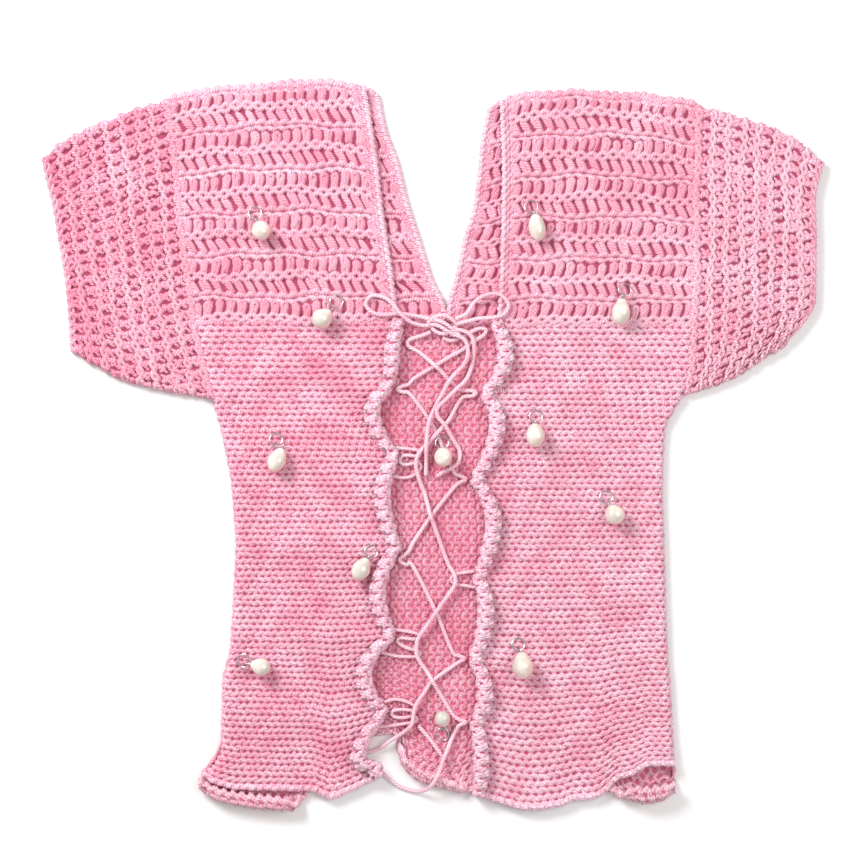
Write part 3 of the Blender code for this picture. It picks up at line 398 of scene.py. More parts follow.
@dataclass
class Cloth:
    """Middle surface of a piece of cloth over its two shares, with the normals of its outer side."""

    points: np.ndarray
    outward: int = 1
    wraps: bool = False
    normals: np.ndarray = field(init=False)

    def __post_init__(self) -> None:
        """Works out the normals: the cross product of the two directions, turned to face outwards."""
        across = np.gradient(self.points, axis=1)
        along = np.gradient(self.points, axis=0)
        if self.wraps:
            across[:, 0] = across[:, -1] = (self.points[:, 1] - self.points[:, -2]) / 2
        self.normals = self.outward * unit(np.cross(across, along))

    def place(self, across: np.ndarray, along: np.ndarray, height: Any) -> np.ndarray:
        """Points at shares across and along the cloth and at a height off its middle, between grid points.

        Args:
            across: shares from the first column to the last.
            along: shares from the first row to the last.
            height: distance off the middle surface, outwards.

        Returns:
            The points, in millimetres.
        """
        rows, columns = self.points.shape[:2]
        x = (np.mod(across, 1.0) if self.wraps else across) * (columns - 1)
        y = along * (rows - 1)
        i = np.clip(np.floor(x).astype(int), 0, columns - 2)
        j = np.clip(np.floor(y).astype(int), 0, rows - 2)
        u = (x - i)[..., None]
        v = (y - j)[..., None]
        found = []
        for table in (self.points, self.normals):
            near = table[j, i] * (1 - u) + table[j, i + 1] * u
            far = table[j + 1, i] * (1 - u) + table[j + 1, i + 1] * u
            found.append(near * (1 - v) + far * v)
        return found[0] + np.asarray(height)[..., None] * unit(found[1])

    def area(self) -> float:
        """Area of the middle surface in square metres, the sum of its cells."""
        across = self.points[:-1, 1:] - self.points[:-1, :-1]
        along = self.points[1:, :-1] - self.points[:-1, :-1]
        return float(np.linalg.norm(np.cross(across, along), axis=2).sum()) * MM * MM

    def lengths(self, axis: int) -> np.ndarray:
        """Length of each column, along axis 0, or of each row, along axis 1, in metres."""
        return np.linalg.norm(np.diff(self.points, axis=axis), axis=2).sum(axis=axis) * MM


# Meshes


def grid(rows: int, columns: int, wraps: bool) -> np.ndarray:
    """Faces over points numbered row by row, which run back to the first column where the grid wraps."""
    j, i = np.meshgrid(np.arange(rows - 1), np.arange(columns if wraps else columns - 1), indexing="ij")
    n = (i + 1) % columns
    corners = (j * columns + i, j * columns + n, (j + 1) * columns + n, (j + 1) * columns + i)
    return np.stack(corners, axis=-1).reshape(-1, 4)


@dataclass
class MeshMaker:
    """Gathers points, faces and texture places, and turns them into one mesh object."""

    name: str
    points: list[np.ndarray] = field(default_factory=list)
    faces: list[np.ndarray] = field(default_factory=list)
    places: list[np.ndarray] = field(default_factory=list)
    tones: list[np.ndarray] = field(default_factory=list)
    count: int = 0

    def add(self, points: np.ndarray, faces: np.ndarray, places: np.ndarray, tones: np.ndarray) -> None:
        """Adds points in millimetres and faces that number them from 0.

        Args:
            points: (points, 3).
            faces: (faces, corners).
            places: texture place of each corner, (faces, corners, 2).
            tones: one value for each point, which shifts its colour.
        """
        self.points.append(points)
        self.faces.append(faces + self.count)
        self.places.append(places)
        self.tones.append(tones)
        self.count += len(points)

    def add_faces(self, faces: np.ndarray) -> None:
        """Adds faces over points that are there already, numbered from the first of all."""
        self.faces.append(faces)
        self.places.append(np.zeros(faces.shape + (2,)))

    def add_tubes(
        self, rings: np.ndarray, tones: np.ndarray, twist: float, flip: bool = False, closed: bool = False
    ) -> None:
        """Adds tubes with closed ends, or rings closed on themselves.

        Args:
            rings: (tubes, rings, sides, 3), in millimetres.
            tones: one value for each tube and ring.
            twist: length of yarn in one turn of its plies.
            flip: whether the faces are turned round.
            closed: whether each tube runs back into its own start.
        """
        tubes, steps, sides = rings.shape[:3]
        centre = rings.mean(axis=2)
        apart = np.linalg.norm(np.diff(centre, axis=1, prepend=centre[:, :1]), axis=2)
        travelled = np.cumsum(apart, axis=1) / twist
        spans = steps if closed else steps - 1
        tube, step, corner = np.meshgrid(np.arange(tubes), np.arange(spans), np.arange(sides), indexing="ij")
        ahead = (step + 1) % steps
        beside = (corner + 1) % sides
        base = tube * steps * sides
        a, b = base + step * sides + corner, base + ahead * sides + corner
        c, d = base + ahead * sides + beside, base + step * sides + beside
        quads = np.stack((a, b, c, d), axis=-1).reshape(-1, 4)
        near = travelled[tube, step]
        far = np.where(step + 1 < steps, travelled[tube, ahead], near + 0.3)
        low, high = corner / sides, (corner + 1) / sides
        places = np.stack((near, low, far, low, far, high, near, high), axis=-1).reshape(-1, 4, 2)
        first = self.count
        if flip:
            quads, places = quads[:, ::-1], places[:, ::-1]
        shade = np.broadcast_to(tones[:, :, None], (tubes, steps, sides)).reshape(-1)
        self.add(rings.reshape(-1, 3), quads, places, shade)
        if not closed:
            start = first + np.arange(tubes)[:, None] * steps * sides + np.arange(sides)[None, :]
            end = start + (steps - 1) * sides
            self.add_faces(start[:, ::-1] if flip else start)
            self.add_faces(end if flip else end[:, ::-1])

    def press(self) -> None:
        """Lifts what lies under the ground to just above it."""
        for block in self.points:
            np.maximum(block[:, 2], BUILD.lowest_yarn, out=block[:, 2])

    def finish(self, finish: "Finish", slot: str, node: str = "") -> bpy.types.Object:
        """Makes the object, dresses it and lets it ride on the garment.

        Args:
            finish: the finish whose material it gets.
            slot: a material slot's name; not used.
            node: the solid that it stands for, if any.

        Returns:
            The object.
        """
        points = (np.concatenate(self.points) - MIDDLE) * MM
        corners = np.concatenate([block.reshape(-1) for block in self.faces])
        sizes = np.concatenate([np.full(len(block), block.shape[1]) for block in self.faces])
        mesh = bpy.data.meshes.new(self.name)
        mesh.vertices.add(len(points))
        mesh.vertices.foreach_set("co", points.astype(np.float32).ravel())
        mesh.loops.add(len(corners))
        mesh.loops.foreach_set("vertex_index", corners.astype(np.int32))
        mesh.polygons.add(len(sizes))
        mesh.polygons.foreach_set("loop_start", np.concatenate(([0], np.cumsum(sizes)[:-1])).astype(np.int32))
        mesh.update(calc_edges=True)
        layer = mesh.uv_layers.new(name="yarn")
        flat = np.concatenate([block.reshape(-1, 2) for block in self.places])
        layer.uv.foreach_set("vector", flat.astype(np.float32).ravel())
        tone = mesh.attributes.new("tone", "FLOAT", "POINT")
        tone.data.foreach_set("value", np.concatenate(self.tones).astype(np.float32))
        mesh.shade_smooth()
        item = bpy.data.objects.new(self.name, mesh)
        bpy.context.scene.collection.objects.link(item)
        mesh.materials.append(finish.material())
        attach(item, "root")
        if node:
            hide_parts(node)
        log.info("%s: %d faces", self.name, len(sizes))
        return item


def sheet_wall(name: str, cloth: Cloth, make: "Make") -> MeshMaker:
    """Thin closed wall on a cloth's middle surface, or an open-ended tube where the cloth wraps.

    Args:
        name: the object's name.
        cloth: the surface.
        make: where the wall has its points, and the heights of its sides.

    Returns:
        The mesh, ready to finish.
    """
    across, along = np.meshgrid(spread(make.across), spread(make.along))
    maker = MeshMaker(name)
    rows, columns = across.shape
    count = rows * columns
    quads = grid(rows, columns, cloth.wraps)
    places = np.stack((across, along), axis=-1).reshape(-1, 2)
    flip = cloth.outward < 0
    for height, turned in ((make.sides[1], flip), (make.sides[0], not flip)):
        side = quads[:, ::-1] if turned else quads
        points = cloth.place(across, along, np.full(across.shape, height)).reshape(-1, 3)
        maker.add(points, side, places[side], np.zeros(count))
    bottom, top = np.arange(columns), count - 1 - np.arange(columns)
    inner = np.arange(1, rows - 1) * columns
    rims = [bottom, top] if cloth.wraps else [np.concatenate((bottom, inner + columns - 1, top, inner[::-1]))]
    for rim in rims:
        ahead = np.roll(rim, -1)
        side = np.stack((ahead, rim, rim + count, ahead + count), axis=-1)
        maker.add_faces(side[:, ::-1] if flip else side)
    return maker


# Finishes


def operator(kind: str, swapped: bool = False) -> Callable[..., "Signal"]:
    """A method that adds a Math node of one kind, with its two inputs swapped or not."""

    def run(self: "Signal", *others: Any) -> "Signal":
        """The node's result."""
        return self.math(kind, *others, swapped=swapped)

    return run


class Signal:
    """A number that changes over a surface. Its operators add Math nodes to the material."""

    def __init__(self, tree: bpy.types.NodeTree, socket: bpy.types.NodeSocket) -> None:
        """Wraps a socket of a node in a tree."""
        self.tree = tree
        self.socket = socket

    def math(self, operation: str, *others: Any, swapped: bool = False) -> "Signal":
        """Adds one Math node.

        Args:
            operation: the node's operation.
            others: signals or numbers for its other inputs.
            swapped: whether this signal is the second input.

        Returns:
            The node's result.
        """
        node = self.tree.nodes.new("ShaderNodeMath")
        node.operation = operation
        for socket, value in zip(node.inputs, [*others, self] if swapped else [self, *others]):
            if isinstance(value, Signal):
                self.tree.links.new(value.socket, socket)
            else:
                socket.default_value = value
        return Signal(self.tree, node.outputs[0])

    __add__ = __radd__ = operator("ADD")
    __sub__ = operator("SUBTRACT")
    __rsub__ = operator("SUBTRACT", swapped=True)
    __mul__ = operator("MULTIPLY")
    __pow__ = operator("POWER")
    __abs__ = operator("ABSOLUTE")
    sine = operator("SINE")

    def within(self, low: float, high: float) -> "Signal":
        """This kept between two numbers."""
        return self.math("MAXIMUM", low).math("MINIMUM", high)


def linear(red: float, green: float, blue: float) -> Colour:
    """A colour as a screen shows it, 0 to 255, in the linear values that a shader takes."""
    share = [value / 255 for value in (red, green, blue)]
    plain = [value / 12.92 if value <= 0.04045 else ((value + 0.055) / 1.055) ** 2.4 for value in share]
    return (plain[0], plain[1], plain[2], 1.0)


class Painter:
    """Adds nodes to one material."""

    def __init__(self, name: str) -> None:
        """Makes the material with an empty tree."""
        self.made = bpy.data.materials.new(name)
        self.made.use_nodes = True
        self.tree = self.made.node_tree
        self.tree.nodes.clear()
        self.solid = self.node("TexCoord").outputs["Object"]

    def node(self, kind: str, settings: Values = None, inputs: Values = None) -> Any:
        """Adds one node.

        Args:
            kind: the node's type, without its first word.
            settings: its properties, set first.
            inputs: values, signals or sockets of its inputs, by name or number.

        Returns:
            The node.
        """
        node = self.tree.nodes.new("ShaderNode" + kind)
        for name, value in (settings or {}).items():
            setattr(node, name, value)
        for key, value in (inputs or {}).items():
            self.feed(node.inputs[key], value)
        return node

    def feed(self, socket: bpy.types.NodeSocket, value: Any) -> None:
        """Links a signal or socket to an input, or sets its value."""
        if isinstance(value, Signal):
            self.tree.links.new(value.socket, socket)
        elif isinstance(value, bpy.types.NodeSocket):
            self.tree.links.new(value, socket)
        else:
            socket.default_value = value

    def signal(self, socket: bpy.types.NodeSocket) -> Signal:
        """A socket as a signal."""
        return Signal(self.tree, socket)

    def noise(self, place: bpy.types.NodeSocket, scale: float, detail: float) -> Signal:
        """Noise at the places of a socket."""
        node = self.node("TexNoise", inputs={"Vector": place, "Scale": scale, "Detail": detail})
        return self.signal(node.outputs[0])

    def bump(self, height: Signal, strength: float, distance: float) -> bpy.types.NodeSocket:
        """The surface's normal, bumped by a height."""
        node = self.node("Bump", inputs={"Height": height, "Strength": strength, "Distance": distance})
        return node.outputs[0]

    def mix(self, amount: Signal, first: Any, second: Any) -> bpy.types.NodeSocket:
        """A mix of two colours or sockets of colours, with so much of the second."""
        return self.node("Mix", {"data_type": "RGBA"}, {0: amount, 6: first, 7: second}).outputs[2]

    def shader(self, inputs: dict[str, Any]) -> bpy.types.Material:
        """The material, ended in a Principled shader with these inputs, by name."""
        body = self.node("BsdfPrincipled", inputs=inputs)
        self.node("OutputMaterial", inputs={"Surface": body.outputs[0]})
        return self.made


@dataclass(frozen=True)
class Finish:
    """What every finish has: a name, and one material that is made once."""

    name: str

    def material(self) -> bpy.types.Material:
        """The finish's material."""
        return bpy.data.materials.get(self.name) or self.paint()

    def paint(self) -> bpy.types.Material:
        """Makes the material."""
        raise NotImplementedError


@dataclass(frozen=True)
class YarnFinish(Finish):
    """Twisted, slightly glossy yarn: plies round the strand, fibre grain, and small shifts of colour.

    A grain is (scale, detail) of a noise, a bump (strength, distance). The shares say how much tone, cloud,
    fibre and the grooves between plies deepen the colour, and the last two how much they roughen it, within
    limits. The grooves' share is painted shade in the hollows between plies; the tone carries random shifts
    and painted light and shade from the pieces."""

    light: Colour = linear(255, 216, 232)
    deep: Colour = linear(238, 128, 160)
    plies: float = 3.0
    ply_depth: float = 0.8
    roughness: float = 0.44
    sheen: float = 0.3
    cloud_grain: Pair = (34.0, 2.0)
    fibre_grain: Pair = (4.0, 3.0)
    fibre_stretch: tuple[float, float, float] = (3.0, 9.0, 1.0)
    uneven_grain: Pair = (240.0, 1.0)
    uneven: float = 3.0
    base: float = 0.36
    shares: tuple[float, float, float, float] = (0.5, 0.8, 0.5, 0.7)
    rough_shares: Pair = (0.25, 0.1)
    rough_limits: Pair = (0.25, 0.9)
    fibre_depth: float = 0.25
    bump: Pair = (0.8, 0.0007)
    tint: Colour = linear(255, 205, 222)

    def paint(self) -> bpy.types.Material:
        """Colour from tone and cloudy noise, with painted shade in the grooves between plies; bump from ply
        waves along the strand and from fibre noise.
        """
        paint = Painter(self.name)
        place = paint.node("UVMap", {"uv_map": "yarn"}).outputs[0]
        parts = paint.node("SeparateXYZ", inputs={0: place}).outputs
        along, round_it = paint.signal(parts[0]), paint.signal(parts[1])
        # The tone shifts the colour at random, and with the painted light and shade that the pieces set.
        tone = paint.signal(paint.node("Attribute", {"attribute_name": "tone"}).outputs["Fac"])
        cloud = paint.noise(paint.solid, *self.cloud_grain)
        stretched = paint.node("Mapping", inputs={"Vector": place, "Scale": self.fibre_stretch}).outputs[0]
        fibre = paint.noise(stretched, *self.fibre_grain)
        uneven = paint.noise(paint.solid, *self.uneven_grain)
        ply = abs(((round_it - along) * (math.pi * self.plies) + uneven * self.uneven).sine())
        groove = (1 - ply) ** 2
        by_tone, by_cloud, by_fibre, groove_shade = self.shares
        rough_fibre, rough_groove = self.rough_shares
        mask = tone * by_tone + self.base + (cloud - 0.5) * by_cloud + (fibre - 0.5) * by_fibre
        # Painted shade: the grooves between the plies are painted deeper.
        mask = (mask + groove * groove_shade).within(0.0, 1.0)
        return paint.shader({
            "Base Color": paint.mix(mask, self.light, self.deep),
            "Roughness": (self.roughness + (fibre - 0.5) * rough_fibre + groove * rough_groove).within(
                *self.rough_limits
            ),
            "Normal": paint.bump(ply * self.ply_depth + fibre * self.fibre_depth, *self.bump),
            "Specular IOR Level": 0.6,
            "Sheen Weight": self.sheen,
            "Sheen Roughness": 0.4,
            "Sheen Tint": self.tint,
        })


@dataclass(frozen=True)
class HollowShadeFinish(Finish):
    """The wall that stands for the cloth under the stitches; its deeper pink is painted shade for the hollows
    between stitches, where it shows.
    """

    light: Colour = linear(206, 96, 128)
    deep: Colour = linear(172, 64, 98)
    fine_grain: Pair = (900.0, 3.0)
    broad_grain: Pair = (160.0, 2.0)
    shares: Pair = (0.6, 0.9)
    least: float = 0.25
    roughness: float = 0.8
    rough_share: float = 0.2
    rough_limits: Pair = (0.5, 1.0)
    bump: Pair = (0.6, 0.0008)

    def paint(self) -> bpy.types.Material:
        """Two noises at the scale of fibres and of stitches, in colour and bump."""
        paint = Painter(self.name)
        fine = paint.noise(paint.solid, *self.fine_grain)
        broad = paint.noise(paint.solid, *self.broad_grain)
        by_fine, by_broad = self.shares
        mask = (fine * by_fine + broad * by_broad - self.least).within(0.0, 1.0)
        return paint.shader({
            "Base Color": paint.mix(mask, self.light, self.deep),
            "Roughness": (self.roughness + (fine - 0.5) * self.rough_share).within(*self.rough_limits),
            "Normal": paint.bump(fine + broad, *self.bump),
        })


@dataclass(frozen=True)
class PearlFinish(Finish):
    """Cream freshwater pearl: soft lustre, rosy and greenish clouds, fine growth lines.

    A cloud is (where it starts, contrast). The lee is the side away from the window, cooler with painted
    shade and, lower down, peach with a painted reflection of the pink cloth."""

    cream: Colour = linear(240, 236, 226)
    warm: Colour = linear(236, 190, 176)
    cool: Colour = linear(190, 196, 180)
    cloud_grain: Pair = (210.0, 2.0)
    other_grain: Pair = (95.0, 1.0)
    slant: float = 0.7
    lee_shade: float = 0.1
    warm_cloud: Pair = (0.35, 2.0)
    cool_cloud: Pair = (0.46, 2.4)
    cool_shade_share: float = 0.5
    peach_reflection_share: float = 1.6
    most: float = 0.8
    roughness: float = 0.16
    rough_limits: Pair = (0.06, 0.5)
    bump: Pair = (0.12, 0.001)
    coat: float = 0.9
    coat_share: float = 0.3
    coat_limits: Pair = (0.5, 1.0)

    def paint(self) -> bpy.types.Material:
        """Clouds mix three colours; painted shade cools the side away from the window, and a painted peach
        reflection of the cloth warms it lower down.
        """
        paint = Painter(self.name)
        cloud = paint.noise(paint.solid, *self.cloud_grain)
        other = paint.noise(paint.solid, *self.other_grain)
        normal = paint.node("SeparateXYZ", inputs={0: paint.node("TexCoord").outputs["Normal"]})
        sideways, towards_neck, up = (paint.signal(part) for part in normal.outputs)
        # Painted shade on the side away from the key light, and lower on it a painted reflection of the pink
        # cloth.
        lee_shade = (sideways * self.slant - towards_neck * self.slant + self.lee_shade).within(0.0, 1.0)
        (warm, warm_contrast), (cool, cool_contrast) = self.warm_cloud, self.cool_cloud
        base = paint.mix(((cloud - warm) * warm_contrast).within(0.0, 1.0), self.cream, self.warm)
        amount = (other - cool) * cool_contrast + lee_shade * self.cool_shade_share
        base = paint.mix(amount.within(0.0, self.most), base, self.cool)
        base = paint.mix(((1 - up) * lee_shade * self.peach_reflection_share).within(0.0, self.most), base, self.warm)
        return paint.shader({
            "Base Color": base,
            "Roughness": (self.roughness + (cloud - 0.5) * self.roughness).within(*self.rough_limits),
            "Normal": paint.bump(cloud + other, *self.bump),
            "Coat Weight": (self.coat + (other - 0.5) * self.coat_share).within(*self.coat_limits),
            "Coat Roughness": 0.04,
            "Coat IOR": 1.7,
            "Specular IOR Level": 0.8,
            "Subsurface Weight": 0.12,
            "Subsurface Radius": (0.004, 0.003, 0.002),
        })


@dataclass(frozen=True)
class SilverFinish(Finish):
    """Bright silver-coloured wire with fine scratches and a little tarnish."""

    bright: Colour = linear(214, 214, 216)
    dull: Colour = linear(120, 112, 108)
    grain: Pair = (700.0, 3.0)
    contrast: float = 3.0
    most: float = 0.8
    roughness: float = 0.16
    rough_share: float = 0.3
    rough_limits: Pair = (0.05, 0.8)
    bump: Pair = (0.15, 0.0002)

    def paint(self) -> bpy.types.Material:
        """Tarnish from noise darkens and roughens the metal."""
        paint = Painter(self.name)
        spots = paint.noise(paint.solid, *self.grain)
        mask = ((spots - 0.5) * self.contrast).within(0.0, self.most)
        return paint.shader({
            "Base Color": paint.mix(mask, self.bright, self.dull),
            "Metallic": 1.0,
            "Roughness": (self.roughness + mask * self.rough_share).within(*self.rough_limits),
            "Normal": paint.bump(spots, *self.bump),
        })


@dataclass(frozen=True)
class FloorFinish(Finish):
    """Matt white paper-like ground."""

    white: Colour = (0.93, 0.93, 0.93, 1.0)
    grey: Colour = (0.9, 0.9, 0.895, 1.0)
    grain: Pair = (9.0, 4.0)

    def paint(self) -> bpy.types.Material:
        """Very faint clouds on white."""
        paint = Painter(self.name)
        cloud = paint.noise(paint.solid, *self.grain)
        return paint.shader({"Base Color": paint.mix(cloud, self.white, self.grey), "Roughness": 0.85})


KNIT_YARN = YarnFinish("knit_yarn")
CROCHET_YARN = YarnFinish("crochet_yarn", light=linear(255, 212, 228))
# Painted shade: the back's yarn is the knit yarn painted deeper, for the shade in the gap between the curled
# fronts where the back shows.
BACK_YARN_SHADED = YarnFinish("back_yarn_shaded", light=linear(255, 205, 221), deep=linear(228, 104, 138))
LACE_YARN = YarnFinish("lace_yarn", light=linear(255, 232, 240), deep=linear(250, 174, 198), ply_depth=0.7)
# Painted shade: the walls under the stitches are painted deeper than the yarn, for the shade in the hollows
# between stitches; the back's is lighter than the others.
KNIT_HOLLOW_SHADE = HollowShadeFinish("knit_hollow_shade")
BACK_HOLLOW_SHADE = HollowShadeFinish("back_hollow_shade", light=linear(228, 120, 150), deep=linear(200, 88, 120))
CROCHET_HOLLOW_SHADE = HollowShadeFinish("crochet_hollow_shade", light=linear(188, 80, 112), deep=linear(146, 50, 84))
PEARL = PearlFinish("pearl_lustre")
SILVER = SilverFinish("silver_wire")
FLOOR = FloorFinish("white_ground")


# Knitting


class Side(Enum):
    """The way in which the loops of a knitted piece point along its wales."""

    OUT = 1
    BACK = -1


@dataclass(frozen=True)
class Fabric:
    """A knitted piece's counts, the way its loops point, its curl's start, its hem's share, and its tone, a
    shift of colour that carries painted light or shade.
    """

    courses: int
    wales: int
    heads: Side
    plump_from: float = 2.0
    hem: float = 0.0
    tone: float = 0.0


@dataclass
class Knitting:
    """Stockinette whose courses run along a piece and whose wales run across it.

    Wanders are (size, longest wave) across, along and off the cloth, of the thickness, and of the tone.
    Plump is how much thicker yarn is on the curl's crest, at the side fold and at the hem, and the row after
    it how much paler it is painted there, a painted highlight for the light that these raised edges catch."""

    course: float = 5.2
    wale: float = 7.4
    reach: float = 4.1
    swing: float = 1.45
    pinch: float = 0.1
    depth: float = 0.5
    level: float = -0.3
    yarn: float = 1.66
    edge: float = 1.0
    steps: int = 12
    sides: int = 4
    twist: float = 5.4
    crest_part: float = 0.04
    fold_part: float = 0.07
    wanders: Table = ((0.34, 47.0), (0.38, 31.0), (0.14, 23.0), (0.06, 19.0), (0.35, 37.0))
    plump: tuple[float, float, float] = (0.28, 0.1, 0.65)
    painted_highlight: tuple[float, float, float] = (0.55, 0.5, 0.8)

    def wandering(self, number: int, count: int, at: np.ndarray, seed: int) -> np.ndarray:
        """One of the wanders, for each course."""
        size, longest = self.wanders[number]
        return size * wander(count, at, seed + number, longest)

    def loop(self) -> np.ndarray:
        """One wale's length of a course, evenly spaced along the yarn.

        Along the course it is t + swing times sin 2t + pinch times sin t, across it reach times cos t,
        and off the cloth minus depth times cos 2t, so that the two legs of each loop stand out and lie
        close together, and its head and feet lie behind.

        Returns:
            Rows of (across, along, height), with no last point, which the next wale gives.
        """
        t = np.linspace(0, 2 * math.pi, 721)
        along = self.wale / (2 * math.pi) * (t + self.swing * np.sin(2 * t) + self.pinch * np.sin(t))
        line = np.stack((self.reach * np.cos(t), along, -self.depth * np.cos(2 * t)), axis=1)
        travelled = np.concatenate(([0.0], np.cumsum(np.linalg.norm(np.diff(line, axis=0), axis=1))))
        even = np.linspace(0, travelled[-1], self.steps, endpoint=False)
        return np.stack([np.interp(even, travelled, line[:, axis]) for axis in range(3)], axis=1)

    def courses(self, which: np.ndarray, wales: int, heads: Side, seed: int) -> np.ndarray:
        """Lines of some courses, each wandering a little.

        Args:
            which: numbers of the courses.
            wales: how many wales each has.
            heads: the way the loops point.
            seed: start of the random wandering.

        Returns:
            Lines, (courses, points, 3), in millimetres of flat cloth.
        """
        one = self.loop()
        line = np.tile(one, (wales, 1))
        line[:, 1] += np.repeat(np.arange(wales) * self.wale, len(one))
        line[:, 0] *= heads.value
        count = len(which)
        lines = np.broadcast_to(line, (count,) + line.shape).copy()
        lines[:, :, 0] += (which[:, None] + 0.5) * self.course
        lines[:, :, 2] += self.level
        for axis in range(3):
            lines[:, :, axis] += self.wandering(axis, count, line[:, 1], seed)
        return lines

    def stitches(self, maker: MeshMaker, cloth: Cloth, fabric: Fabric, which: np.ndarray, seed: int) -> None:
        """Adds tubes of yarn along some courses, laid on the cloth.

        Args:
            maker: the mesh that takes them.
            cloth: the surface they lie on.
            fabric: how many courses and wales the whole piece has, and the way its loops point.
            which: numbers of the courses.
            seed: start of the random wandering.
        """
        lines = self.courses(which, fabric.wales, fabric.heads, seed)
        count = len(which)
        width, height = fabric.courses * self.course, fabric.wales * self.wale
        lines[..., 0] = np.clip(lines[..., 0], self.edge, width - self.edge)
        share = lines[..., 0] / width
        hem = np.clip(1 - lines[..., 1] / height / fabric.hem, 0, 1) if fabric.hem else 0 * share
        crest = np.clip((share - fabric.plump_from) / self.crest_part, 0, 1)
        fold = np.clip(1 - share / self.fold_part, 0, 1) if fabric.plump_from < 1 else 0 * share
        marked = np.array([crest, fold, hem])
        plump, painted_highlight = (np.tensordot(row, marked, 1) for row in (self.plump, self.painted_highlight))
        at = lines[0, :, 1]
        thick = self.yarn * (1 + self.wandering(3, count, at, seed) + plump)
        rings = tube_rings(lines, thick, self.sides)
        placed = cloth.place(rings[..., 0] / width, rings[..., 1] / height, rings[..., 2])
        # Random tone, less the painted highlight on crests, folds and hems, plus the piece's tone, which
        # carries painted light or shade.
        tones = self.wandering(4, count, at, seed) - painted_highlight + fabric.tone
        maker.add_tubes(placed, tones, self.twist, cloth.outward < 0)


# Crochet


class Face(Enum):
    """The looks of a row of double crochet: its right side, its wrong side, and a row worked in the round."""

    RIGHT = "right"
    WRONG = "wrong"
    ROUND = "round"


POSTS: dict[Face, tuple[Places, ...]] = {
    Face.RIGHT: (
        ((0.32, 0.02, 0.0), (0.17, 0.18, 0.7), (-0.04, 0.36, 1.0), (-0.17, 0.56, 1.05), (-0.30, 0.74, 0.95),
         (-0.38, 0.90, 0.55), (-0.42, 1.0, 0.0)),
        ((0.50, 0.02, 0.0), (0.37, 0.20, 0.6), (0.29, 0.38, 0.9), (0.19, 0.56, 1.0), (0.04, 0.74, 0.95),
         (-0.14, 0.91, 0.6), (-0.24, 1.0, 0.0)),
        ((0.28, 0.26, 0.1), (0.10, 0.48, 0.5), (-0.06, 0.68, 0.5), (-0.2, 0.84, 0.1)),
    ),
    Face.WRONG: (
        ((-0.26, 0.0, 0.0), (-0.22, 0.18, 0.6), (-0.13, 0.40, 0.8), (-0.12, 0.58, 0.85), (-0.16, 0.74, 0.95),
         (-0.02, 0.88, 0.9), (0.20, 0.90, 0.8), (0.36, 0.78, 0.85), (0.30, 0.60, 0.8), (0.19, 0.42, 0.8),
         (0.12, 0.20, 0.6), (0.04, 0.0, 0.0)),
        ((-0.16, 0.08, 0.3), (-0.04, 0.28, 1.15), (0.08, 0.48, 1.3), (0.10, 0.66, 1.2), (0.12, 0.80, 0.9)),
    ),
    Face.ROUND: (
        ((-0.30, 0.02, 0.0), (-0.20, 0.20, 0.6), (-0.12, 0.38, 0.8), (-0.16, 0.54, 0.8), (-0.30, 0.70, 0.9),
         (-0.36, 0.86, 0.4)),
        ((0.38, 0.04, 0.1), (0.22, 0.22, 0.7), (0.10, 0.40, 0.9), (0.20, 0.56, 0.95), (0.36, 0.70, 0.9),
         (0.30, 0.86, 0.4)),
        ((0.10, 0.08, 0.2), (-0.04, 0.30, 1.1), (0.02, 0.50, 1.1), (0.0, 0.74, 0.9)),
    ),
}


